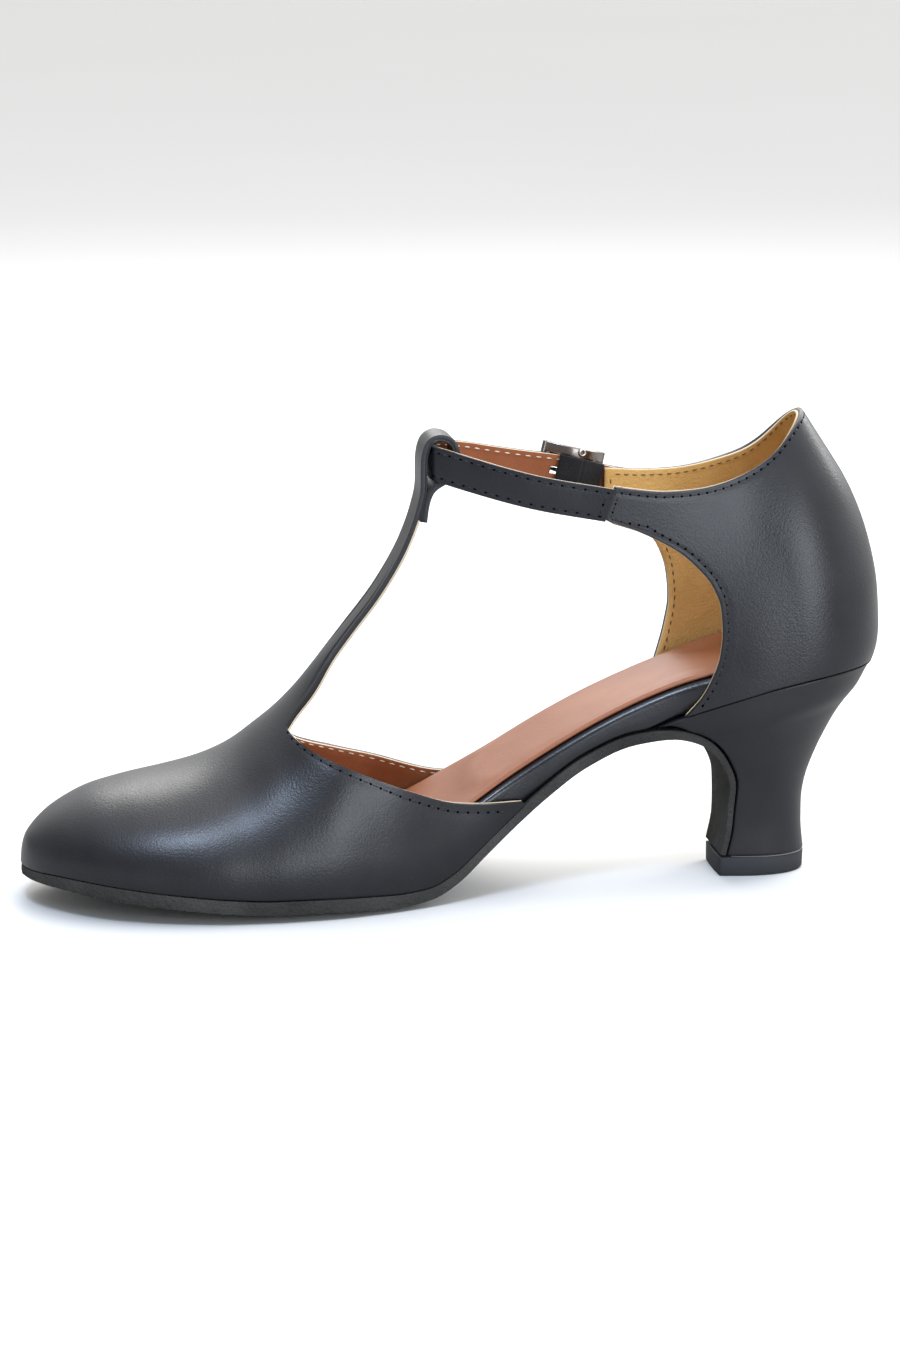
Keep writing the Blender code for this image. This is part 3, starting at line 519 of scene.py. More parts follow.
@dataclass
class StitchRow:
    """A row of short sewn stitches that follows a path over a surface."""

    name: str
    finish: Finish
    slot: str
    pitch: float = 2.9
    length: float = 2.0
    radius: float = 0.22
    sink: float = 0.02
    flatness: float = 0.8
    hole: float = 0.42
    hole_length: float = 0.5
    hole_depth: float = 0.09
    holes: bool = False
    paths: list[list[tuple[Vector, Vector]]] = field(default_factory=list)

    def follow(self, surface: Surface, knots: Sequence[tuple[float, float]], inside: float = 0.0,
               flip: bool = False) -> None:
        """Add a path through parameter pairs of a surface.

        Args:
            surface: gives the toe-frame point of a parameter pair.
            knots: the parameter pairs along the path.
            inside: how far the stitches lie under the surface, in millimetres.
            flip: whether the surface's two directions cross the other way round.
        """
        path = []
        for u, v in knots:
            here = Vector(surface(u, v))
            over = Vector(surface(u + PROBE, v)) - Vector(surface(u - PROBE, v))
            across = Vector(surface(u, v + PROBE)) - Vector(surface(u, v - PROBE))
            normal = over.cross(across).normalized() * (-1 if flip else 1)
            facing = -normal if inside else normal
            path.append((here - normal * inside, facing))
        self.paths.append(path)

    def stitches(self, phase: float = 0.5, rise: float = 0.0) -> list[Matrix]:
        """Return the place and turn of every stitch.

        Args:
            phase: share of the pitch at which each one lies.
            rise: height of its middle over the surface, in millimetres.
        """
        found = []
        for path in self.paths:
            lengths = [0.0]
            for (first, _), (second, _) in zip(path, path[1:]):
                lengths.append(lengths[-1] + (second - first).length)
            count = max(int(lengths[-1] / self.pitch), 1)
            for k in range(count):
                reach = lengths[-1] * (k + phase) / count
                i = min(max(bisect_right(lengths, reach) - 1, 0), len(path) - 2)
                share = (reach - lengths[i]) / max(lengths[i + 1] - lengths[i], 1e-6)
                here = path[i][0].lerp(path[i + 1][0], share)
                up = path[i][1].lerp(path[i + 1][1], share).normalized()
                ahead = (path[i + 1][0] - path[i][0]).normalized()
                side = up.cross(ahead).normalized()
                ahead = side.cross(up).normalized()
                turn = Matrix((ahead, side, up)).transposed().to_4x4()
                found.append(Matrix.Translation(place(here + up * rise)) @ turn)
        return found

    def build(self) -> bpy.types.Object:
        """Model the stitches as small rounded threads, with painted shade beads in the needle holes,
        and finish the row.
        """
        piece = Piece(self.name)
        half = self.length / 2 * MM
        thick = self.radius * MM
        for turn in self.stitches(rise=self.sink):
            size = Matrix.Diagonal((half, thick, thick * self.flatness, 1.0))
            bmesh.ops.create_icosphere(piece.form, subdivisions=1, radius=1.0, matrix=turn @ size)
        # The needle holes are flat near-black beads at the surface: painted shade, not cut holes.
        if self.holes:
            sizes = (self.hole_length * MM, self.hole * MM, self.hole_depth * MM, 1.0)
            size = Matrix.Diagonal(sizes)
            for turn in self.stitches(phase=0.0):
                made = bmesh.ops.create_icosphere(piece.form, subdivisions=1, radius=1.0,
                                                  matrix=turn @ size)["verts"]
                for cell in {face for vertex in made for face in vertex.link_faces}:
                    cell.material_index = 1
        return piece.finish(self.finish, self.slot, rim=NEEDLE_HOLE_SHADE if self.holes else None)


SOLE_ROWS = columns("x z rise medial lateral thick", (
    (0.2, 7.3, 0.4, 2.9, 2.7, 2.3),
    (9.0, 6.5, 1.1, 20.0, 19.2, 3.2),
    (24.0, 4.6, 1.6, 31.0, 29.8, 3.7),
    (39.0, 2.6, 2.1, 35.9, 34.4, 3.7),
    (55.0, 0.7, 2.5, 38.0, 37.0, 3.7),
    (66.0, 0.0, 2.5, 38.0, 38.0, 3.7),
    (80.0, 0.0, 2.2, 36.9, 38.0, 3.7),
    (98.0, 0.0, 1.4, 32.6, 35.4, 3.6),
    (110.0, 1.4, 0.8, 28.4, 31.4, 3.2),
    (117.5, 5.2, 0.4, 25.8, 28.4, 2.8),
    (126.0, 12.6, 0.2, 23.4, 25.8, 2.4),
    (134.5, 20.0, 0.1, 21.2, 23.0, 2.4),
    (143.0, 26.9, 0.0, 19.3, 21.0, 2.7),
    (155.5, 35.6, 0.0, 18.2, 19.4, 2.9),
    (168.5, 40.8, 0.0, 17.5, 18.4, 3.0),
    (179.0, 42.0, 0.0, 17.6, 17.9, 2.6),
    (187.0, 40.0, 0.0, 17.2, 17.4, 2.2),
    (193.2, 34.0, 0.0, 15.1, 15.1, 1.9),
    (196.4, 26.0, 0.0, 12.3, 12.3, 1.7),
    (196.1, 15.0, 0.0, 10.1, 10.1, 1.6),
    (194.5, 6.4, 0.0, 9.8, 9.8, 1.6),
))
RIDGE_ROWS = columns("x z", (
    (1.4, 17.7), (3.9, 20.8), (7.6, 24.0), (12.9, 27.1), (19.6, 30.0), (28.0, 32.1),
    (42.0, 35.0), (50.4, 37.4), (58.8, 41.4), (65.0, 46.2), (72.0, 52.0), (83.9, 65.6),
    (94.7, 78.7), (106.0, 98.3), (140.0, 125.0),
))
STEM_ROWS = columns("x z", (
    (72.0, 52.0), (78.1, 59.2), (89.2, 72.3), (99.2, 85.2), (106.2, 97.6), (109.2, 106.0),
    (110.5, 112.5), (110.5, 118.5), (111.2, 123.2), (113.0, 126.0), (115.9, 127.0),
    (119.4, 125.8), (121.3, 122.8), (121.6, 118.9), (120.7, 115.5), (117.6, 113.1),
    (114.3, 111.0), (113.0, 107.6), (112.3, 102.6),
))
STEM_WIDTHS = columns("run half", (
    (0.0, 13.0), (1.5, 12.2), (3.0, 11.5), (6.0, 10.6), (9.0, 10.0), (12.0, 9.2), (16.0, 7.8),
    (20.0, 6.7), (26.0, 6.1), (40.0, 5.8), (150.0, 5.5),
))
MEDIAL_TOPLINE = columns("x z", (
    (72.0, 48.7), (73.0, 47.4), (76.2, 45.3), (83.9, 41.7), (92.3, 38.2), (103.2, 33.6),
    (118.1, 28.4), (136.8, 26.5),
))
LATERAL_TOPLINE = columns("x z", (
    (72.0, 48.7), (73.2, 43.6), (76.0, 38.4), (80.6, 34.9), (90.5, 31.7), (102.0, 28.9),
    (121.0, 24.9), (131.0, 24.6),
))
SEAT_SEAM = columns("x z", (
    (158.0, 40.0), (172.0, 44.8), (181.1, 48.6), (195.9, 53.9), (207.1, 57.3),
    (219.1, 59.7), (229.0, 60.9), (240.0, 61.3),
))
COLLAR = columns("x z drop", (
    (158.6, 114.1, 1.2), (168.7, 112.4, 0.3), (176.0, 111.7, 0.0), (184.0, 112.0, 0.0),
    (191.0, 113.1, 0.0), (198.4, 115.6, 0.2), (204.5, 118.8, 0.9), (209.5, 122.8, 1.2),
    (213.4, 127.0, 0.8), (217.4, 130.6, 0.0), (240.0, 150.0, 0.0),
))
COUNTER_BACK = columns("z x", (
    (60.0, 237.9), (63.6, 239.3), (68.5, 240.0), (81.4, 239.4), (95.2, 236.6), (108.9, 231.4),
    (122.7, 223.0), (130.1, 218.2),
))
MEDIAL_FRONT = columns("x z", (
    (181.7, 48.8), (185.8, 54.0), (188.9, 60.3), (190.8, 66.6), (191.4, 73.1),
    (191.0, 79.4), (188.7, 85.7), (184.7, 90.7), (179.2, 95.4), (173.3, 98.8),
    (165.2, 102.6), (159.0, 104.6),
))
LATERAL_FRONT = columns("x z", (
    (176.0, 46.7), (179.6, 53.2), (181.7, 59.1), (183.7, 66.4), (184.9, 74.0),
    (184.2, 81.6), (181.4, 89.6), (177.4, 94.4), (172.0, 98.4), (166.0, 101.4),
))
COUNTER_WIDTHS = columns("x seat collar", (
    (158.0, 18.0, 18.6), (170.0, 18.8, 18.8), (181.0, 20.6, 18.3), (192.0, 23.4, 17.0),
    (203.0, 25.4, 15.4), (240.0, 26.2, 15.0),
))
BED_ROWS = columns("x z medial lateral", (
    (14.0, 15.0, 20.5, 19.5), (20.0, 14.2, 25.0, 24.0), (30.0, 12.9, 29.6, 28.4),
    (47.0, 10.6, 33.8, 33.0), (66.0, 9.1, 34.8, 34.6), (80.0, 9.2, 33.6, 34.8),
    (90.0, 10.8, 31.2, 33.4), (100.0, 14.3, 28.2, 31.0), (110.0, 19.6, 25.2, 27.6),
    (121.0, 26.6, 21.2, 23.6), (134.0, 34.9, 18.4, 19.8), (147.0, 42.8, 18.0, 18.8),
    (158.0, 48.8, 17.8, 17.8), (169.0, 53.9, 17.6, 17.2), (180.0, 58.2, 17.8, 17.3),
    (190.0, 61.4, 19.8, 20.0), (203.0, 64.4, 22.4, 22.4), (214.0, 66.0, 22.6, 22.6),
    (225.0, 67.0, 19.0, 19.0), (232.0, 67.4, 12.4, 12.4), (235.6, 67.6, 4.0, 4.0),
))
HEEL_ROWS = columns("back_x back_z front_x front_z front_half half set_back", (
    (220.2, 5.8, 197.3, 5.8, 9.4, 10.8, 0.2), (219.4, 13.0, 198.1, 13.0, 9.6, 10.8, 0.2),
    (219.3, 20.0, 198.6, 19.0, 10.4, 11.5, 0.2), (220.2, 26.8, 198.5, 25.5, 11.9, 12.8, 0.3),
    (222.5, 33.7, 196.8, 31.0, 13.8, 15.0, 0.4), (225.5, 40.5, 194.2, 36.0, 15.8, 17.8, 0.5),
    (229.2, 47.3, 190.2, 40.4, 17.0, 20.6, 0.6), (234.4, 54.2, 184.4, 43.8, 17.6, 23.6, 0.6),
    (238.6, 61.0, 174.5, 45.4, 17.8, 25.6, 0.0),
))
STRAP_ROWS = columns("x y z", (
    (159.1, -18.7, 108.7), (150.8, -17.6, 110.0), (141.9, -16.0, 111.6), (131.5, -13.4, 114.1),
    (123.6, -10.8, 116.3), (115.9, -7.9, 118.5), (113.6, -4.8, 118.9), (113.2, 0.0, 119.0),
    (113.6, 4.8, 119.0), (116.0, 7.9, 118.9), (123.5, 10.8, 117.7), (131.1, 13.4, 116.0),
    (141.5, 16.0, 113.9), (149.4, 17.6, 112.5), (156.0, 19.3, 111.0), (161.5, 20.7, 109.4),
    (167.0, 21.6, 107.8), (173.5, 21.9, 106.6), (183.0, 22.0, 105.6),
))


@dataclass
class Last:
    """The foot's form in the forepart, with the sole's edge that it stands on."""

    throat_x: float = 72.0
    toe_power: float = 2.25
    instep_power: float = 1.85
    inset: float = 0.4
    bulge: float = 1.3
    bulge_height: float = 11.0
    fore_rows: int = 16
    sole_soften: float = 1.5
    width_soften: float = 0.12
    ridge_soften: float = 0.14
    toe_fade: float = 0.4
    full_until: float = 30.0
    narrow_over: float = 45.0
    bulge_start: float = 12.0

    def __post_init__(self) -> None:
        """Run the curves through the tables."""
        fore = {name: values[:self.fore_rows] for name, values in SOLE_ROWS.items()}
        self.end = fore["x"][-1]
        self.sole_z = softened(smooth(fore["x"], fore["z"]), self.sole_soften)
        self.rise = smooth(fore["x"], fore["rise"])
        self.thick = smooth(fore["x"], fore["thick"])
        self.half = {}
        for side, name in ((-1, "medial"), (1, "lateral")):
            roots = [0.0] + [math.sqrt(x) for x in fore["x"][1:]]
            curve = smooth(roots, [0.0] + fore[name][1:])
            self.half[side] = softened(curve, self.width_soften)
        roots = [0.0] + [math.sqrt(x) for x in RIDGE_ROWS["x"]]
        heights = [z - self.feather(x) for x, z in zip(RIDGE_ROWS["x"], RIDGE_ROWS["z"])]
        self.ridge = softened(smooth(roots, [0.0] + heights), self.ridge_soften)

    def slope(self, x: float) -> float:
        """Return the slope of the sole's lower side."""
        return self.sole_z(x + 0.5) - self.sole_z(x - 0.5) if x > 1 else 0.0

    def feather(self, x: float) -> float:
        """Return the height where the upper meets the edge of the sole."""
        lift = self.thick(x) * math.hypot(1.0, self.slope(x))
        return self.sole_z(x) + self.rise(x) + lift + GAP

    def sole_half(self, x: float, side: int) -> float:
        """Return the half width of the sole on one side."""
        root = math.sqrt(max(min(x, self.end), 0.0))
        return max(self.half[side](root), 0.0) * min(root / self.toe_fade, 1.0)

    def height(self, x: float) -> float:
        """Return the height of the last's ridge over the feather line."""
        root = math.sqrt(max(x, 0.0))
        return max(self.ridge(root), 0.0) * min(root / self.toe_fade, 1.0)

    def power(self, x: float) -> float:
        """Return the fullness of the section: round at the toe, narrower above."""
        share = clamp((x - self.full_until) / self.narrow_over)
        return blend(self.toe_power, self.instep_power, share * share * (3 - 2 * share))

    def point(self, x: float, angle: float, lift: float = 0.0) -> Point:
        """Return a point of the last.

        Args:
            x: place along the shoe.
            angle: angle from the medial to the lateral feather line.
            lift: distance that the point stands off, in millimetres.

        Returns:
            The toe-frame point.
        """
        side = -1 if angle < math.pi / 2 else 1
        across = abs(math.cos(angle)) ** (2 / self.power(x))
        up = abs(math.sin(angle)) ** (2 / self.power(x))
        height = self.height(x) * up
        swell = min(height / self.bulge_height, 1.0)
        half = max(self.sole_half(x, side) - self.inset, 0.0)
        half += self.bulge * swell * (2 - swell) * min(x / self.bulge_start, 1.0)
        y = side * (half * across + lift * abs(math.cos(angle)))
        return (x, y, self.feather(x) + height + lift * up)

    def angle_at_height(self, x: float, z: float) -> float:
        """Return the section's angle at a height, from its nearer feather line."""
        share = clamp((z - self.feather(x)) / self.height(x))
        return math.asin(share ** (self.power(x) / 2))

    def angle_at_width(self, x: float, y: float) -> float:
        """Return the section's angle at a distance from the ridge."""
        side = -1 if y < 0 else 1
        share = abs(y) / (self.sole_half(x, side) - self.inset + self.bulge)
        return math.acos(share ** (self.power(x) / 2))


LAST = Last()


@dataclass
class Vamp:
    """Closed forefoot with two wings and the T-strap folded over into a loop."""

    leather: float = 1.25
    lining: float = 0.62
    stem_half: float = 6.0
    wing_share: float = 1.7
    stitch_inset: float = 0.8
    lining_inset: float = 0.4
    groove_depth: float = 0.13
    wing_lanes: int = 34
    stem_lanes: int = 34
    fold_depth: float = 0.4
    fold_inset: float = 1.7
    fold_width: float = 0.45
    fold_start: float = 5.0
    fold_end: float = 105.0
    fold_fade: float = 12.0
    trough_width: float = 0.55
    girth: float = 95.0
    toe_crowding: float = 0.6
    throat_rise: float = 0.9
    throat_run: float = 34.0
    shin_rise: float = 0.5
    shin_run: float = 60.0
    form_start: float = 3.0
    form_run: float = 17.0
    loop_z: float = 103.0

    def __post_init__(self) -> None:
        """Run the curves of the toplines and the stem."""
        self.top = {-1: smooth(MEDIAL_TOPLINE["x"], MEDIAL_TOPLINE["z"]),
                    1: smooth(LATERAL_TOPLINE["x"], LATERAL_TOPLINE["z"])}
        self.wing_end = {-1: MEDIAL_TOPLINE["x"][-1], 1: LATERAL_TOPLINE["x"][-1]}
        self.stem, self.stem_length = along(STEM_ROWS, ("x", "z"))
        self.stem = {name: softened(curve, 1.6) for name, curve in self.stem.items()}
        self.stem_width = smooth(STEM_WIDTHS["run"], STEM_WIDTHS["half"])
        width = STEM_WIDTHS["half"][0]
        self.throat = {side: LAST.angle_at_width(LAST.throat_x, side * width) for side in (-1, 1)}

    def toe(self, row: float, lane: float) -> Point:
        """Return a point of the closed toe for shares of its length and girth."""
        x = LAST.throat_x * row ** 2 * (1 + self.toe_crowding - self.toe_crowding * row)
        low, high = self.throat[-1], math.pi - self.throat[1]
        third = self.wing_lanes / (2 * self.wing_lanes + self.stem_lanes)
        if lane < third:
            angle = low * lane / third
        elif lane > 1 - third:
            angle = math.pi - (math.pi - high) * (1 - lane) / third
        else:
            angle = blend(low, high, (lane - third) / (1 - 2 * third))
        return LAST.point(x, angle)

    def wing(self, side: int) -> Surface:
        """Return the surface of the wing on one side."""
        def surface(row: float, lane: float) -> Point:
            """Return a point of the wing, from the feather line to its top edge."""
            x = blend(LAST.throat_x, self.wing_end[side], max(row, 0.0) ** self.wing_share)
            reach = self.throat[side]
            if row > 0:
                reach = LAST.angle_at_height(x, self.top[side](x))
            angle = reach * lane
            edge = (1 - lane) * reach / math.pi * self.girth
            trough = groove(edge, self.stitch_inset, self.trough_width)
            lift = -self.groove_depth * trough * clamp(row * 12)
            return LAST.point(x, angle if side < 0 else math.pi - angle, lift)
        return surface

    def stem_point(self, row: float, lane: float) -> Point:
        """Return a point of the T-strap's stem and its folded loop."""
        run = self.stem_length * row
        x, z = self.stem["x"](run), self.stem["z"](run)
        ahead = (self.stem["x"](run + 0.5) - x, self.stem["z"](run + 0.5) - z)
        size = math.hypot(*ahead)
        half = self.stem_width(run)
        low, high = self.throat[-1], math.pi - self.throat[1]
        if row > 0.0:
            low = LAST.angle_at_width(x, -half)
            high = math.pi - LAST.angle_at_width(x, half)
        on_last = LAST.point(x if row > 0.0 else LAST.throat_x, blend(low, high, lane))
        y = on_last[1]
        rise = self.throat_rise * max(0.0, 1 - run / self.throat_run) ** 1.5
        rise += self.shin_rise * max(0.0, 1 - run / self.shin_run)
        crown = rise * (y / self.stem_half) ** 2
        fold = groove(half - abs(y), self.fold_inset, self.fold_width)
        fold *= clamp(run / self.fold_start) * clamp((self.fold_end - x) / self.fold_fade)
        crown += self.fold_depth * fold
        strip = (x + crown * ahead[1] / size, y, z - crown * ahead[0] / size)
        share = clamp((run - self.form_start) / self.form_run)
        share *= share * (3 - 2 * share)
        return tuple(blend(first, second, share) for first, second in zip(on_last, strip))

    def shell(self, name: str) -> Piece:
        """Return the open outer surface as a piece under way."""
        piece = Piece(name)
        piece.grid(84, 2 * self.wing_lanes + self.stem_lanes, self.toe)
        piece.grid(56, self.wing_lanes, self.wing(-1))
        piece.grid(56, self.wing_lanes, self.wing(1))
        piece.grid(150, self.stem_lanes, self.stem_point)
        piece.merge(lambda middle: middle - place((40, 0, 8)))
        return piece

    def edge_knots(self, side: int, inset: float) -> list[tuple[float, float]]:
        """Return parameter pairs along a stitched line under a wing's top edge."""
        knots = []
        for i in range(61):
            row = blend(0.045, 0.955, i / 60)
            x = blend(LAST.throat_x, self.wing_end[side], row ** self.wing_share)
            reach = LAST.angle_at_height(x, self.top[side](x))
            knots.append((row, 1 - inset / (reach / math.pi * self.girth)))
        return knots

    def build(self) -> None:
        """Build the leather, its lining and the stitches along the top edge."""
        self.shell("vamp_leather").finish(NAVY_LEATHER, "vamp", ("vamp",), wall=self.leather,
                                          round_edge=0.42)
        lining = self.shell("vamp_lining")
        lining.sink(self.leather + 0.03)
        for cell in lining.form.faces:
            if cell.calc_center_median().z > self.loop_z * MM:
                cell.material_index = 2
        inside = lining.finish(BROWN_LINING, "vamp", wall=self.lining, rim=CREAM_EDGE)
        inside.data.materials.append(NAVY_LEATHER.make())
        inside.data.materials.append(NAVY_LEATHER.make())
        outer = StitchRow("vamp_topline_stitches", NAVY_THREAD, "vamp", holes=True)
        inner = StitchRow("vamp_lining_stitches", CREAM_THREAD, "vamp")
        for side in (-1, 1):
            surface = self.wing(side)
            outer.follow(surface, self.edge_knots(side, self.stitch_inset), flip=side > 0)
            inner.follow(surface, self.edge_knots(side, self.lining_inset), flip=side > 0,
                         inside=self.leather + self.lining + 0.03)
        outer.build()
        inner.build()


@dataclass
class Counter:
    """Heel cup with its two wings: leather outside, golden suede inside."""

    leather: float = 1.45
    lining: float = 0.7
    bulge: float = 0.8
    back_power: float = 2.15
    seat_reach: float = 27.0
    collar_reach: float = 36.0
    seam_lean: float = 3.0
    stitch_inset: float = 1.5
    groove_depth: float = 0.13
    trough_width: float = 0.6
    front_zone: float = 6.0
    back_start: float = 238.0
    knot_margin: float = 0.012
    front_margin: float = 0.03

    def __post_init__(self) -> None:
        """Run the curves through the tables."""
        self.seam = smooth(SEAT_SEAM["x"], SEAT_SEAM["z"])
        self.top = softened(smooth(COLLAR["x"], COLLAR["z"]), 2.5)
        self.drop = softened(smooth(COLLAR["x"], COLLAR["drop"]), 2.5)
        self.back = softened(smooth(COUNTER_BACK["z"], COUNTER_BACK["x"]), 3.0)
        self.seat_half = softened(smooth(COUNTER_WIDTHS["x"], COUNTER_WIDTHS["seat"]), 4.0)
        self.collar_half = softened(smooth(COUNTER_WIDTHS["x"], COUNTER_WIDTHS["collar"]), 4.0)
        self.fronts = {-1: self.front(-1), 1: self.front(1)}

    def collar(self, x: float, side: int) -> float:
        """Return the height of the collar, which is lower on the lateral side."""
        return self.top(x) - (self.drop(x) if side > 0 else 0.0)

    def front(self, side: int) -> Curve:
        """Return the front edge's place over the share of the cup's height."""
        table = MEDIAL_FRONT if side < 0 else LATERAL_FRONT
        shares = [0.0] + [(z - self.seam(x)) / (self.collar(x, side) - self.seam(x))
                          for x, z in list(zip(table["x"], table["z"]))[1:]]
        curve = softened(smooth(shares, table["x"]), 0.012)
        lean = self.seam_lean if side < 0 else 0.0
        last = table["x"][-1]

        def place_at(share: float) -> float:
            """Return the place of the front edge."""
            if share < shares[-1]:
                return curve(share)
            return last + lean * (share - shares[-1]) / (1 - shares[-1])

        return place_at

    def point(self, x: float, share: float, side: int, lift: float = 0.0) -> Point:
        """Return a point of the cup.

        Args:
            x: place along the shoe.
            share: share of the height from the seat seam to the collar.
            side: minus one on the medial side, one on the lateral side.
            lift: distance that the point stands off, in millimetres.

        Returns:
            The toe-frame point.
        """
        z = blend(self.seam(x), self.collar(x, side), share)
        length = blend(self.seat_reach, self.collar_reach, clamp(share) ** 3)
        reach = clamp((self.back(z) - x) / length)
        round_back = (1 - (1 - reach) ** self.back_power) ** (1 / self.back_power)
        half = blend(self.seat_half(x), self.collar_half(x), clamp(share) ** 1.5)
        half += self.bulge * math.sin(math.pi * clamp(share))
        return (x + lift * (1 - reach), side * (half * round_back + lift * reach), z)

    def back_line(self, share: float) -> float:
        """Return the place of the back line at a share of the height."""
        x = self.back_start
        for _ in range(30):
            x = blend(x, self.back(blend(self.seam(x), self.top(x), share)), 0.5)
        return x

    def surface(self, row: float, lane: float) -> Point:
        """Return a point for shares of the height and of the girth round the back."""
        turn = 2 * lane - 1
        side = -1 if turn < 0 else 1
        back = self.back_line(row)
        front = self.fronts[side](row)
        x = back - (back - front) * (1 - math.cos(math.pi / 2 * abs(turn)))
        height = self.collar(x, side) - self.seam(x)
        under = (1 - row) * height
        lift = -self.groove_depth * groove(under, self.stitch_inset, self.trough_width)
        ahead = x - front
        if ahead < self.front_zone:
            lift -= self.groove_depth * groove(ahead, self.stitch_inset, self.trough_width)
        return self.point(x, row, side, lift)

    def shell(self, name: str) -> Piece:
        """Return the open outer surface as a piece under way."""
        piece = Piece(name)
        piece.grid(110, 150, self.surface)
        piece.merge(lambda middle: middle - place((205, 0, 90)))
        return piece

    def collar_knots(self) -> list[tuple[float, float]]:
        """Return parameter pairs along the line under the collar."""
        knots = []
        for i in range(121):
            lane = blend(self.knot_margin, 1 - self.knot_margin, i / 120)
            x = self.surface(1.0, lane)[0]
            height = self.top(x) - self.seam(x)
            knots.append((1 - self.stitch_inset / height, lane))
        return knots

    def front_knots(self, side: int) -> list[tuple[float, float]]:
        """Return parameter pairs along the line beside the front edge."""
        knots = []
        for i in range(91):
            row = blend(self.front_margin, 1 - self.front_margin, i / 90)
            back, front = self.back_line(row), self.fronts[side](row)
            slope = (self.fronts[side](row + 0.01) - front) / 0.01
            height = self.collar(front, side) - self.seam(front)
            inset = self.stitch_inset * math.hypot(1.0, slope / height)
            turn = math.acos(1 - (back - front - inset) / (back - front)) / (math.pi / 2)
            knots.append((row, 0.5 + side * turn / 2))
        return knots

    def build(self) -> None:
        """Build the leather, the suede lining and their stitches."""
        self.shell("counter_leather").finish(NAVY_LEATHER, "counter", ("counter",),
                                             wall=self.leather, round_edge=0.45)
        lining = self.shell("counter_lining")
        lining.sink(self.leather + 0.03)
        lining.finish(TAN_SUEDE, "counter", wall=self.lining, rim=CREAM_EDGE)
        outer = StitchRow("counter_stitches", NAVY_THREAD, "counter", pitch=2.4, length=1.6,
                          holes=True)
        inner = StitchRow("counter_lining_stitches", DARK_THREAD, "counter", pitch=2.4,
                          length=1.6)
        deep = self.leather + self.lining + 0.03
        for knots in (self.collar_knots(), self.front_knots(-1), self.front_knots(1)):
            outer.follow(self.surface, knots, flip=True)
            inner.follow(self.surface, knots, inside=deep, flip=True)
        outer.build()
        inner.build()


COUNTER = Counter()


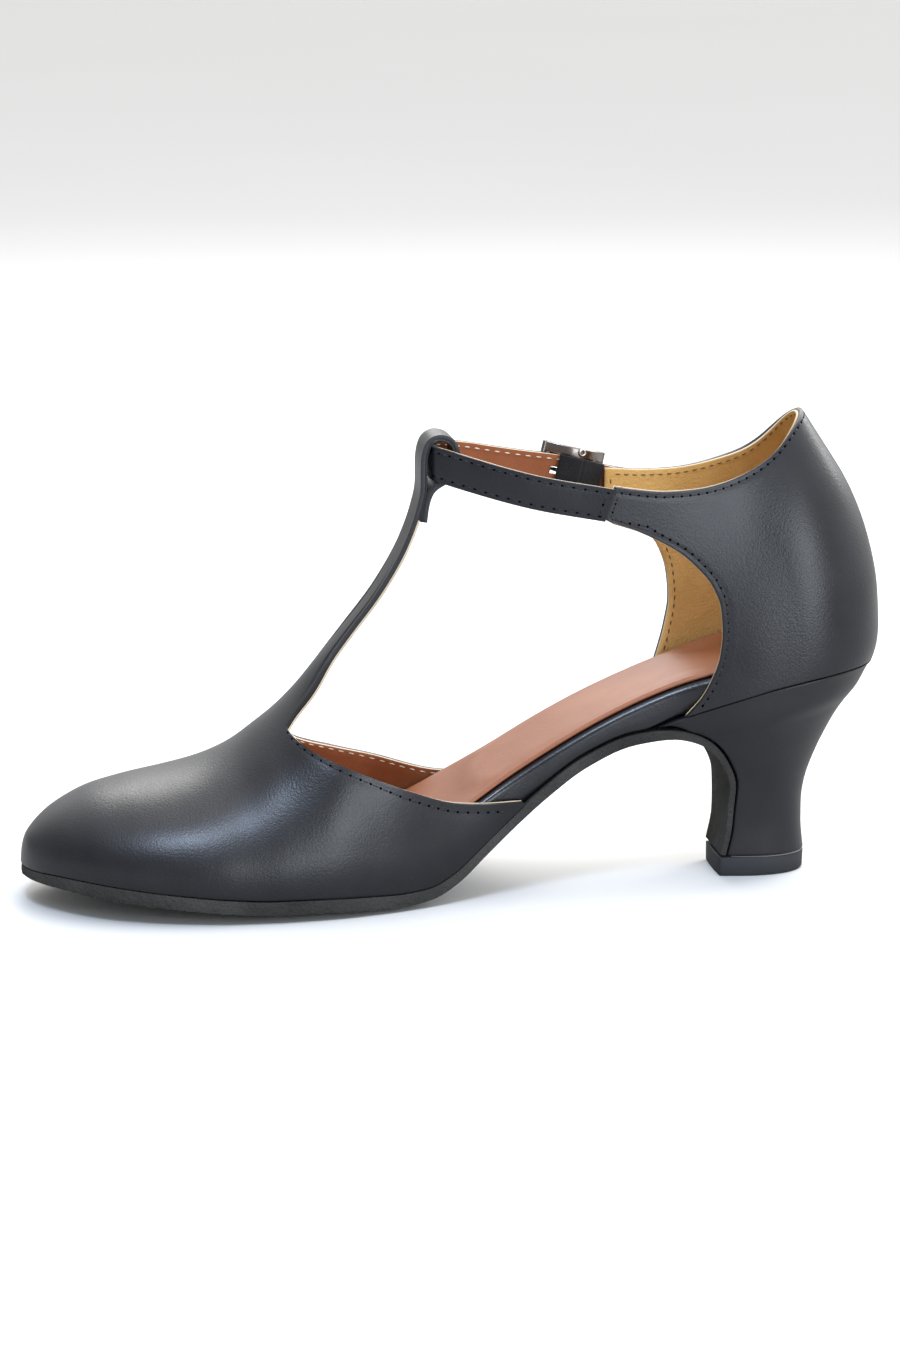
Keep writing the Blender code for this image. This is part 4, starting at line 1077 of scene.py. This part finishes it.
@dataclass
class AnkleStrap:
    """Strap from the medial seam through the loop to the buckle, with dark discs painted as the shade
    of its holes.
    """

    wall: float = 2.2
    leather: float = 1.4
    half: float = 4.6
    slot_half: float = 1.3
    slot_lanes: int = 2
    stitch_inset: float = 1.25
    trough_depth: float = 0.12
    trough_width: float = 0.4
    crown: float = 0.22
    seam_run: float = 8.0
    tail_run: float = 5.0
    buckle_x: float = 156.6
    slot_back: float = 5.4
    lap: float = 1.7
    lap_rise: float = 0.75
    seam_lean: float = 0.22
    hole_pitch: float = 6.5
    hole_radius: float = 0.75
    hole_rise: float = 0.13
    holes: int = 3

    def __post_init__(self) -> None:
        """Run the curves along the strap."""
        self.path, self.length = along(STRAP_ROWS, ("x", "y", "z"))
        self.slot = self.run_at(self.buckle_x - self.slot_back)

    def run_at(self, x: float) -> float:
        """Return the length along the strap where its lateral side reaches a place."""
        low, high = self.length / 2, self.length
        for _ in range(40):
            middle = (low + high) / 2
            low, high = (middle, high) if self.path["x"](middle) < x else (low, middle)
        return low

    def directions(self, run: float) -> tuple[Vector, Vector, Vector, Vector]:
        """Return the centre point and the forward, outward and upward directions."""
        here = Vector([self.path[n](run) for n in ("x", "y", "z")])
        ahead = Vector([self.path[n](run + 0.4) for n in ("x", "y", "z")])
        back = Vector([self.path[n](run - 0.4) for n in ("x", "y", "z")])
        forward = (ahead - back).normalized()
        outward = forward.cross(Vector((0, 0, 1))).normalized()
        if outward.dot(here - Vector((150, 0, here.z))) < 0:
            outward = -outward
        up = Vector((0, 0, 1))
        up = (up - forward * up.dot(forward)).normalized()
        return here, forward, outward, up

    def buckle_frame(self) -> tuple[Vector, Vector, Vector, Vector]:
        """Return the centre of the buckle's bar and its three directions."""
        here, forward, outward, _ = self.directions(self.run_at(self.buckle_x))
        up = outward.cross(forward).normalized()
        if up.z < 0:
            up = -up
        return here - outward * (self.wall + GAP + 0.8), forward, outward, up

    def surface(self, row: float, lane: float) -> Point:
        """Return a point for shares of the length and the width."""
        across = (2 * lane - 1) * self.half
        seam = clamp(1 - row * self.length / self.seam_run)
        run = self.length * row - seam * (self.lap + self.seam_lean * across)
        here, _, outward, up = self.directions(run)
        here += outward * self.lap_rise * seam ** 2
        left = (self.length - run) / self.tail_run
        across *= math.sqrt(max(1 - (1 - clamp(left)) ** 2, 0.02))
        crown = self.crown * (1 - (across / self.half) ** 2) - self.crown / 2
        trough = groove(self.half - abs(across), self.stitch_inset, self.trough_width)
        crown -= self.trough_depth * trough
        return tuple(here + up * across + outward * crown)

    def shell(self, name: str) -> Piece:
        """Return the open outer surface, with the slot that the prong passes."""
        rows, lanes = 220, 21
        low = int((self.slot - self.slot_half) / self.length * rows)
        high = int((self.slot + self.slot_half) / self.length * rows)
        middle = lanes // 2

        def keep(row: int, lane: int) -> bool:
            """Say whether a cell lies outside the slot."""
            return not (low <= row <= high and abs(lane - middle) <= self.slot_lanes)

        piece = Piece(name)
        piece.grid(rows, lanes, self.surface, keep=keep)
        piece.merge(lambda centre: centre - place((150, 0, 112)))
        return piece

    def painted_hole_shade(self) -> None:
        """Build dark discs on the strap's outer face as painted shade of the punched holes, which are
        not cut.
        """
        piece = Piece("strap_hole_painted_shade")
        for k in range(1, self.holes + 1):
            here, forward, outward, up = self.directions(self.slot - k * self.hole_pitch)
            turn = Matrix((forward, up, outward)).transposed().to_4x4()
            spot = Matrix.Translation(place(here + outward * self.hole_rise)) @ turn
            bmesh.ops.create_circle(piece.form, cap_ends=True, segments=20,
                                    radius=self.hole_radius * MM, matrix=spot)
        piece.merge()
        # The thread's dark finish is painted shade, standing for the dark inside of each punched hole.
        piece.finish(DARK_THREAD, "ankle_strap", wall=0.1)

    def build(self) -> None:
        """Build the strap's leather, lining, stitches and the painted shade of its holes."""
        self.shell("strap_leather").finish(NAVY_LEATHER, "ankle_strap", ("ankle_strap",),
                                           wall=self.leather, round_edge=0.45)
        lining = self.shell("strap_lining")
        lining.sink(self.leather + 0.03)
        lining.finish(BROWN_LINING, "ankle_strap", wall=self.wall - self.leather - 0.05,
                      rim=CREAM_EDGE)
        outer = StitchRow("strap_stitches", NAVY_THREAD, "ankle_strap", pitch=3.15, length=2.1,
                          holes=True)
        inner = StitchRow("strap_lining_stitches", CREAM_THREAD, "ankle_strap", pitch=3.15,
                          radius=0.2)
        share = self.stitch_inset / (2 * self.half)
        rows = [blend(0.012, 0.965, i / 200) for i in range(201)]
        for lane in (share, 1 - share):
            knots = [(row, lane) for row in rows]
            outer.follow(self.surface, knots, flip=True)
            inner.follow(self.surface, knots, inside=self.wall, flip=True)
        seam = [(0.014, blend(share, 1 - share, i / 10)) for i in range(11)]
        outer.follow(self.surface, seam, flip=True)
        outer.build()
        inner.build()
        self.painted_hole_shade()


def lofted(rings: Sequence[Sequence[Point]]) -> Surface:
    """Return a surface that reads closed rings, one for each row of a grid."""
    count = len(rings[0])
    return lambda row, lane: rings[round(row * (len(rings) - 1))][round(lane * count) % count]


def tube(name: str, rings: Sequence[Sequence[Point]]) -> Piece:
    """Return a closed piece under way from a row of rings.

    Args:
        name: name of the piece.
        rings: closed rings with equal counts of points.

    Returns:
        The piece, with both of its ends closed.
    """
    piece = Piece(name)
    piece.grid(len(rings) - 1, len(rings[0]), lofted(rings))
    piece.close_ends()
    piece.merge()
    return piece


@dataclass
class Sole:
    """Rough outsole with toe spring, waist and the flap down the heel's front."""

    shares: tuple[float, ...] = (0.0, 0.2, 0.4, 0.55, 0.62, 0.7, 0.78, 0.86, 0.92, 0.97, 1.0)
    flap_start: float = 0.7
    toe_share: float = 0.15
    flat_share: float = 0.6
    rise_power: float = 1.3

    def __post_init__(self) -> None:
        """Run the curves along the sole."""
        curves, self.length = along(SOLE_ROWS, ("x", "z"))
        self.path = {name: softened(curve, 2.0) for name, curve in curves.items()}
        self.path["x"] = softened(curves["x"], 1.0)

    def lift(self, share: float) -> float:
        """Return the tread's rise at a share of the half width."""
        return clamp((share - self.flat_share) / (1 - self.flat_share)) ** self.rise_power

    def inner(self, run: float, share: float = 1.0) -> tuple[float, float, tuple[float, float]]:
        """Return a point through the sole's thickness and the upward direction."""
        x, z = self.path["x"](run), self.path["z"](run)
        ahead = (self.path["x"](run + 0.5) - self.path["x"](run - 0.5),
                 self.path["z"](run + 0.5) - self.path["z"](run - 0.5))
        size = math.hypot(*ahead)
        up = (-ahead[1] / size, ahead[0] / size)
        thick = self.path["thick"](run) * share
        return x + up[0] * thick, z + up[1] * thick, up

    def section(self, run: float) -> list[Point]:
        """Return the closed section of the sole at a length along it."""
        x, z, up = self.inner(run, 0.0)
        rise, thick = self.path["rise"](run), self.path["thick"](run)
        lower, upper = [], []
        for share in [-s for s in self.shares[:0:-1]] + list(self.shares):
            side = -1 if share < 0 else 1
            half = self.path["medial" if side < 0 else "lateral"](run)
            if x < LAST.end - 3 and run < self.length * self.flap_start:
                half = LAST.sole_half(x, side)
            bottom = rise * self.lift(abs(share))
            lower.append((x + up[0] * bottom, share * half, z + up[1] * bottom))
            top = bottom + thick
            upper.append((x + up[0] * top, share * half, z + up[1] * top))
        return lower + upper[::-1]

    def build(self) -> None:
        """Build the outsole."""
        toe, turn = self.length * self.toe_share, self.length * self.flap_start
        runs = [toe * (i / 30) ** 2 for i in range(30)]
        runs += [blend(toe, turn, i / 80) for i in range(80)]
        runs += [blend(turn, self.length, i / 60) for i in range(61)]
        piece = tube("outsole_leather", [self.section(run) for run in runs])
        piece.finish(ROUGH_SOLE, "outsole", ("outsole",), round_edge=0.4, steps=2)


SOLE = Sole()


@dataclass
class Footbed:
    """Padded brown sock on the wrapped board, whose black rim shows at the waist."""

    sock_thickness: float = 1.4
    rim_round: float = 2.3
    pad_start: float = 121.0
    pad_height: float = 0.55
    pad_lead: float = 5.0
    ridge_height: float = 0.35
    ridge_place: float = 3.5
    ridge_width: float = 2.2
    seat_lead: float = 14.0
    sock_share: float = 0.93
    sock_inset: float = 1.2
    sock_foot: float = 0.35
    sock_round: float = 1.0
    stations: int = 150

    def __post_init__(self) -> None:
        """Run the curves along the foot bed."""
        self.bed = softened(smooth(BED_ROWS["x"], BED_ROWS["z"]), 3.0)
        self.half = {-1: softened(smooth(BED_ROWS["x"], BED_ROWS["medial"]), 3.0),
                     1: softened(smooth(BED_ROWS["x"], BED_ROWS["lateral"]), 3.0)}
        self.seam = smooth(SEAT_SEAM["x"], SEAT_SEAM["z"])
        self.seat = HEEL_ROWS["front_x"][-1]

    def places(self) -> list[float]:
        """Return the places of the sections, closer at both ends."""
        first, last = BED_ROWS["x"][0], BED_ROWS["x"][-1]
        turns = [math.pi * i / self.stations for i in range(self.stations + 1)]
        return [blend(first, last, 0.5 - 0.5 * math.cos(turn)) for turn in turns]

    def sole_top(self, x: float) -> float:
        """Return the height of the sole's upper side."""
        return LAST.sole_z(x) + LAST.thick(x) * math.hypot(1.0, LAST.slope(x))

    def base(self, x: float) -> float:
        """Return the height of what the board lies on."""
        if x < self.seat - self.seat_lead:
            return self.sole_top(x) + GAP + 0.1
        return max(self.sole_top(min(x, self.seat)) + GAP, self.seam(x)) + 0.1

    def board_section(self, x: float) -> list[Point]:
        """Return the closed section of the board."""
        base, top = self.base(x), self.bed(x) - self.sock_thickness - GAP
        radius = min(self.rim_round, (top - base) * 0.45)
        ring = []
        for side in (-1, 1):
            width = min(self.half[side](x), 40.0)
            inner = min(0.62 * LAST.sole_half(x, side), width * 0.8)
            share = clamp(width / max(LAST.sole_half(min(x, LAST.end), side), 1.0))
            rise = LAST.rise(x) * SOLE.lift(share) if x < LAST.end else 0.0
            edge = base + rise + 0.4
            profile = [(inner * 0.5, base), (inner, base), (width - 1.2, edge - 0.1)]
            profile += [(width - 0.35, edge + 0.1), (width, edge + 0.7)]
            profile.append((width, blend(edge, top - radius, 0.6)))
            for k in range(9):
                turn = math.pi / 2 * k / 8
                across = width - radius * (1 - math.cos(turn))
                profile.append((across, top - radius * (1 - math.sin(turn))))
            profile.append((width * 0.5, top))
            points = [(x, side * y, z) for y, z in profile]
            ring += points if side < 0 else points[::-1]
        return ring

    def pad(self, x: float, y: float) -> float:
        """Return the height of the raised pad, which starts with a curved front."""
        front = self.pad_start + 0.02 * y * y
        share = clamp((x - front) / self.pad_lead)
        ridge = self.ridge_height * groove(x, front + self.ridge_place, self.ridge_width)
        return self.pad_height * share * share * (3 - 2 * share) + ridge

    def sock_section(self, x: float) -> list[Point]:
        """Return the closed section of the padded sock."""
        bottom = self.bed(x) - self.sock_thickness
        ring = []
        for side in (-1, 1):
            width = self.half[side](x) * self.sock_share - 0.1
            foot = bottom + self.sock_foot
            profile = [(width * 0.5, bottom), (width - 0.5, bottom), (width, foot)]
            for k in range(1, 5):
                turn = math.pi / 2 * k / 4
                across = width - self.sock_inset * (1 - math.cos(turn))
                profile.append((across, foot + self.sock_round * math.sin(turn)))
            for share in (0.9, 0.82, 0.72, 0.6, 0.45, 0.3, 0.15):
                y = (width - self.sock_inset) * share
                fade = clamp((1 - share) / 0.2)
                profile.append((y, foot + self.sock_round + self.pad(x, y) * fade))
            points = [(x, side * y, z) for y, z in profile]
            ring += points if side < 0 else points[::-1]
        return ring

    def build(self) -> None:
        """Build the board with its rim, and the sock on it."""
        places = self.places()
        board = tube("wrapped_board", [self.board_section(x) for x in places])
        board.finish(BLACK_RIM, "insole_board", ("insole_board",))
        sock = tube("padded_sock", [self.sock_section(x) for x in places])
        sock.finish(BROWN_SOCK, "insole", ("insole",))


@dataclass
class Heel:
    """Covered heel with its waisted back line, the pale glue line and the lift."""

    side_points: int = 26
    levels: int = 56
    power: float = 2.15
    lift_top: float = 5.5
    lift_front: float = 194.2
    glue_setback: float = 3.2
    back_share: float = 0.62
    back_limit: float = 27.0
    corner_share: float = 0.3

    def __post_init__(self) -> None:
        """Run the curves up the heel."""
        places = list(range(len(HEEL_ROWS["half"])))
        self.rows = {name: softened(smooth(places, values), 0.3)
                     for name, values in HEEL_ROWS.items()}
        self.seam = smooth(SEAT_SEAM["x"], SEAT_SEAM["z"])
        self.last = places[-1]

    def breast(self, z: float) -> float:
        """Return the place of the flap's inner face at a height."""
        low, high = SOLE.length * 0.72, SOLE.length
        for _ in range(40):
            run = (low + high) / 2
            low, high = (run, high) if SOLE.inner(run)[1] > z else (low, run)
        return SOLE.inner(low)[0]

    def ring(self, row: dict[str, float], seat: float = 0.0) -> list[Point]:
        """Return one level of the heel.

        Args:
            row: the level's named values.
            seat: share by which the level follows the seat seam.

        Returns:
            The closed ring: straight front, flared sides and a round back.
        """
        near = []
        span = row["back_x"] - row["front_x"]
        reach = min(span * self.back_share, self.back_limit)
        for i in range(self.side_points):
            share = 1 - math.cos(math.pi / 2 * i / (self.side_points - 1))
            x = row["back_x"] - (span - row["set_back"]) * share
            back = min((row["back_x"] - x) / reach, 1.0)
            round_back = (1 - (1 - back) ** self.power) ** (1 / self.power)
            ahead = clamp((x - row["front_x"]) / (span - reach * 0.8))
            half = blend(row["front_half"], row["half"], ahead * (2 - ahead))
            z = blend(row["front_z"], row["back_z"], (x - row["front_x"]) / span)
            near.append((x, half * round_back, blend(z, self.seam(x) - GAP, seat)))
        front_z = blend(row["front_z"], self.seam(row["front_x"]) - GAP, seat)
        corner = self.corner_share * row["front_half"]
        front = [(row["front_x"], corner, front_z), (row["front_x"], -corner, front_z)]
        medial = [(x, -y, z) for x, y, z in near[1:]]
        return [front[1]] + medial[::-1] + near + [front[0]]

    def level(self, place_at: float) -> dict[str, float]:
        """Return the named values of a level, with its front against the flap."""
        row = {name: curve(place_at) for name, curve in self.rows.items()}
        if place_at < self.last - 0.8:
            row["front_x"] = self.breast(row["front_z"]) + GAP
        return row

    def build(self) -> None:
        """Build the covered heel, the glue line and the top lift."""
        rings = []
        for i in range(self.levels + 1):
            place_at = self.last * i / self.levels
            seat = clamp(place_at - self.last + 1) ** 2
            rings.append(self.ring(self.level(place_at), seat))
        tube("covered_heel", rings).finish(HEEL_COVER, "heel", ("heel",), round_edge=0.6)
        foot = self.level(0.0)
        foot.update(front_x=self.lift_front, set_back=0.3)
        self.slab("top_lift_rubber", LIFT_RUBBER, foot, ("top_lift",),
                  ((0.0, -0.6), (0.6, -0.2), (self.lift_top - 0.1, 0.0)))
        foot["front_x"] += self.glue_setback
        self.slab("lift_glue_line", PALE_GLUE, foot, (),
                  ((self.lift_top - 0.05, -0.12), (self.lift_top + 0.25, -0.12)))

    def slab(self, name: str, finish: Finish, foot: dict[str, float], replaces: Sequence[str],
             steps: Sequence[tuple[float, float]]) -> None:
        """Build a flat slab in the heel's outline.

        Args:
            name: name of the piece.
            finish: finish of the slab.
            foot: values of the outline.
            replaces: frame nodes that it stands for.
            steps: height and growth of the outline for each ring.
        """
        rings = []
        for z, out in steps:
            row = dict(foot, front_z=z, back_z=z, back_x=foot["back_x"] + out)
            row["half"] += out
            row["front_half"] += out
            rings.append(self.ring(row))
        tube(name, rings).finish(finish, "top_lift", replaces, round_edge=0.25, steps=2)


@dataclass
class Buckle:
    """Dark metal frame with its bar and prong, held by a woven elastic tab."""

    strap: AnkleStrap
    bar_half: float = 0.8
    bar_corner: float = 1.2
    prong_radius: float = 0.55
    tab_wall: float = 1.1
    tab_half: float = 4.7
    wrap: float = 1.9
    wing_x: float = 166.0
    ends: float = 9.75
    rail: float = 1.9
    arch_start: float = 0.9
    arch_run: float = 7.6
    across: tuple[float, ...] = (-7.4, -4.3, 4.3, 7.4)
    knuckle_radius: float = 0.85
    knuckle_wire: float = 0.32
    knuckle_up: float = 6.3
    tab_shift: float = 0.65
    tab_start: tuple[float, float, float] = (-1.2, -1.9, 108.6)

    def __post_init__(self) -> None:
        """Take the bar's place from the strap."""
        self.centre, self.forward, self.outward, self.up = self.strap.buckle_frame()
        self.rise = self.strap.wall + 2 * GAP + self.rail

    def at(self, ahead: float, out: float, up: float = 0.0) -> Point:
        """Return a toe-frame point from distances along the buckle's directions."""
        return tuple(self.centre + self.forward * ahead + self.outward * out + self.up * up)

    def build_frame(self) -> None:
        """Build the arched frame with its centre bar."""
        low = [-self.ends, -8.9, -8.0, -7.2, -6.3, -5.4, -4.5, -3.6, -2.7, -1.8, -0.9]
        places = low + [-value for value in low[::-1]]
        bars = (0, 1, len(low) - 1, len(places) - 3, len(places) - 2)

        def surface(row: float, lane: float) -> Point:
            """Return a point of the frame's outer face."""
            ahead = places[round(row * (len(places) - 1))]
            up = self.across[round(lane * 3)]
            arch = self.rise * clamp((abs(ahead) - self.arch_start) / self.arch_run) ** 1.5
            return self.at(ahead, arch + self.bar_half, up)

        piece = Piece("buckle_frame_metal")
        piece.grid(len(places) - 1, 3, surface, keep=lambda row, lane: lane != 1 or row in bars)
        piece.merge(lambda middle: self.outward)
        piece.finish(GUNMETAL, "buckle_frame", ("buckle_frame",), wall=2 * self.bar_half,
                     round_edge=0.5, steps=4)

    def build_knuckle(self) -> None:
        """Build the small bright ring at the upper end of the bar."""
        rings = []
        for i in range(17):
            turn = 2 * math.pi * i / 16
            ring = []
            for k in range(8):
                bend = 2 * math.pi * k / 8
                reach = self.knuckle_radius + self.knuckle_wire * math.cos(bend)
                out = -self.bar_half - 0.25 + self.knuckle_wire * math.sin(bend)
                up = self.knuckle_up + reach * math.sin(turn)
                ring.append(self.at(reach * math.cos(turn), out, up))
            rings.append(ring)
        piece = Piece("bar_knuckle")
        piece.grid(16, 8, lofted(rings))
        piece.merge()
        piece.finish(BRIGHT_STEEL, "buckle_frame")

    def build_prong(self) -> None:
        """Build the prong, looped round the bar and resting on the front end."""
        ring = self.bar_half + GAP + self.prong_radius + 0.2
        points = []
        for i in range(13):
            turn = math.radians(blend(300, 180, i / 12))
            points.append((ring * math.cos(turn) * 1.15, ring * math.sin(turn)))
        tip = self.rise + self.bar_half + GAP + self.prong_radius
        knots = columns("ahead out", (
            points[-1], (-3.2, 0.7), (-4.8, 1.7), (-5.5, 3.0), (-6.3, 4.5), (-7.6, 5.8), (-9.6, tip),
        ))
        curves, length = along(knots, ("ahead", "out"))
        for i in range(1, 25):
            run = length * i / 24
            points.append((curves["ahead"](run), curves["out"](run)))
        line = bpy.data.curves.new("prong_line", "CURVE")
        line.dimensions = "3D"
        line.bevel_depth = self.prong_radius * MM
        line.bevel_resolution = 4
        line.use_fill_caps = True
        spline = line.splines.new("POLY")
        spline.points.add(len(points) - 1)
        for knot, (ahead, out) in zip(spline.points, points):
            knot.co = (*place(self.at(ahead, out)), 1.0)
        draft = bpy.data.objects.new("prong_draft", line)
        bpy.context.scene.collection.objects.link(draft)
        piece = Piece("buckle_prong_pin")
        shaped = draft.evaluated_get(bpy.context.evaluated_depsgraph_get())
        piece.form.from_mesh(bpy.data.meshes.new_from_object(shaped))
        bpy.data.objects.remove(draft, do_unlink=True)
        piece.merge()
        piece.finish(GUNMETAL, "buckle_prong", ("buckle_prong",), round_edge=0.25)

    def build_tab(self) -> None:
        """Build the woven tab from the lateral wing round the bar."""
        side = self.bar_corner + GAP + self.tab_wall + self.tab_shift
        width = COUNTER.collar_half(self.wing_x)
        start = Vector((self.wing_x, width, 0.0)) + Vector(self.tab_start)
        inner = self.centre - self.outward * side
        route = [start.lerp(inner + self.forward * 1.2, i / 8) for i in range(9)]
        for i in range(1, 13):
            turn = math.radians(blend(270, 178, i / 12))
            route.append(Vector(self.at(self.wrap * side * math.cos(turn), side * math.sin(turn))))
        heights = (-self.tab_half, -3.0, -1.1, 1.1, 3.0, self.tab_half)
        rows = len(route) - 1

        def surface(row: float, lane: float) -> Point:
            """Return a point of the tab."""
            return tuple(route[round(row * rows)] + self.up * heights[round(lane * 5)])

        piece = Piece("elastic_tab")
        piece.grid(rows, 5, surface)
        piece.merge(lambda middle: middle - place(self.centre))
        piece.finish(BLACK_ELASTIC, "buckle_tab", ("buckle_tab",), wall=self.tab_wall,
                     round_edge=0.3)

    def build(self) -> None:
        """Build the three pieces of the buckle."""
        self.build_frame()
        self.build_knuckle()
        self.build_prong()
        self.build_tab()


@dataclass(frozen=True)
class Softbox:
    """A soft square light: its place in metres, side, strength in watts and colour."""

    name: str
    where: tuple[float, float, float]
    size: float
    power: float
    colour: tuple[float, float, float]


SOFTBOXES = (
    Softbox("window_softbox", (-0.25, -0.58, 1.10), 0.27, 7.5, (0.62, 0.76, 1.0)),
    Softbox("side_softbox", (0.40, -1.12, 0.30), 0.5, 5.0, (0.86, 0.92, 1.0)),
    Softbox("back_softbox", (0.05, 0.95, 0.78), 0.6, 5.0, (1.0, 0.99, 0.97)),
    Softbox("top_softbox", (0.32, 0.1, 1.2), 0.8, 6.5, (1.0, 0.98, 0.94)),
    Softbox("rim_softbox", (0.8, 0.5, 0.6), 0.5, 5.0, (1.0, 1.0, 1.0)),
)


@dataclass
class Studio:
    """White floor, soft light and the camera at the photograph's angle."""

    target: tuple[float, float, float] = (-0.00054, 0.0, 0.05834)
    azimuth: float = -9.0
    elevation: float = 13.0
    distance: float = 1.2
    lens: float = 115.6
    sensor: float = 36.0
    floor_bounce: tuple[float, float, float] = (0.36, 0.36, 0.36)
    bright_side: tuple[float, float, float] = (0.6, 0.4, 0.7)
    fade_end: float = 0.9
    dim: float = 0.36
    bright: float = 1.4

    def floor(self) -> None:
        """Lay a wide pale floor."""
        mesh = bpy.data.meshes.new("studio_floor")
        form = bmesh.new()
        bmesh.ops.create_grid(form, x_segments=1, y_segments=1, size=6.0)
        form.to_mesh(mesh)
        form.free()
        floor = bpy.data.objects.new("studio_floor", mesh)
        bpy.context.scene.collection.objects.link(floor)
        material = STUDIO_FLOOR.make()
        tree = material.node_tree
        paint = tree.nodes["Principled BSDF"].inputs["Base Color"]
        seen = tree.nodes.new("ShaderNodeLightPath").outputs["Is Camera Ray"]
        mix = tree.nodes.new("ShaderNodeMix")
        mix.data_type = "RGBA"
        mix.inputs["A"].default_value = (*self.floor_bounce, 1.0)
        tree.links.new(paint.links[0].from_socket, mix.inputs["B"])
        tree.links.new(seen, mix.inputs["Factor"])
        tree.links.new(mix.outputs["Result"], paint)
        mesh.materials.append(material)

    def light(self, box: Softbox) -> None:
        """Hang a soft light that faces the shoe.

        Args:
            box: the light's name, place, size, strength and colour.
        """
        lamp = bpy.data.lights.new(box.name, "AREA")
        lamp.shape = "SQUARE"
        lamp.size = box.size
        lamp.energy = box.power
        lamp.color = box.colour
        thing = bpy.data.objects.new(box.name, lamp)
        thing.location = box.where
        facing = Vector(self.target) - Vector(box.where)
        thing.rotation_euler = facing.to_track_quat("-Z", "Y").to_euler()
        bpy.context.scene.collection.objects.link(thing)

    def world(self) -> None:
        """Show a white room that lights the shoe from above and behind, less from the front."""
        world = bpy.data.worlds.new("white_room")
        world.use_nodes = True
        tree = world.node_tree
        sky = tree.nodes["Background"]
        sky.inputs["Color"].default_value = (1.0, 1.0, 1.0, 1.0)
        places = tree.nodes.new("ShaderNodeTexCoord")
        facing = tree.nodes.new("ShaderNodeVectorMath")
        facing.operation = "DOT_PRODUCT"
        facing.inputs[1].default_value = self.bright_side
        tree.links.new(places.outputs["Generated"], facing.inputs[0])
        fade = tree.nodes.new("ShaderNodeMapRange")
        fade.inputs["From Min"].default_value = 0.0
        fade.inputs["From Max"].default_value = self.fade_end
        fade.inputs["To Min"].default_value = self.dim
        fade.inputs["To Max"].default_value = self.bright
        tree.links.new(facing.outputs["Value"], fade.inputs["Value"])
        mix = tree.nodes.new("ShaderNodeMix")
        mix.inputs["B"].default_value = 1.0
        seen = tree.nodes.new("ShaderNodeLightPath").outputs["Is Camera Ray"]
        tree.links.new(seen, mix.inputs["Factor"])
        tree.links.new(fade.outputs["Result"], mix.inputs["A"])
        tree.links.new(mix.outputs["Result"], sky.inputs["Strength"])
        bpy.context.scene.world = world
        bpy.context.scene.view_settings.view_transform = "Standard"

    def camera(self) -> None:
        """Set the camera."""
        turn, tilt = math.radians(self.azimuth), math.radians(self.elevation)
        level = math.cos(tilt)
        back = Vector((math.sin(turn) * level, -math.cos(turn) * level, math.sin(tilt)))
        lens = bpy.data.cameras.new("camera")
        lens.lens = self.lens
        lens.sensor_fit = "VERTICAL"
        lens.sensor_height = self.sensor
        thing = bpy.data.objects.new("camera", lens)
        thing.location = Vector(self.target) + back * self.distance
        thing.rotation_euler = back.to_track_quat("Z", "Y").to_euler()
        bpy.context.scene.collection.objects.link(thing)
        bpy.context.scene.camera = thing

    def build(self) -> None:
        """Set up the floor, the lights, the room and the camera."""
        self.floor()
        self.world()
        self.camera()
        for box in SOFTBOXES:
            self.light(box)


def main() -> None:
    """Build the studio and every piece of the shoe."""
    logging.basicConfig(level=logging.INFO, format="%(message)s")
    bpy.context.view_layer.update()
    Studio().build()
    SOLE.build()
    Footbed().build()
    Heel().build()
    Vamp().build()
    COUNTER.build()
    strap = AnkleStrap()
    strap.build()
    Buckle(strap).build()


if __name__ == "__main__":
    main()
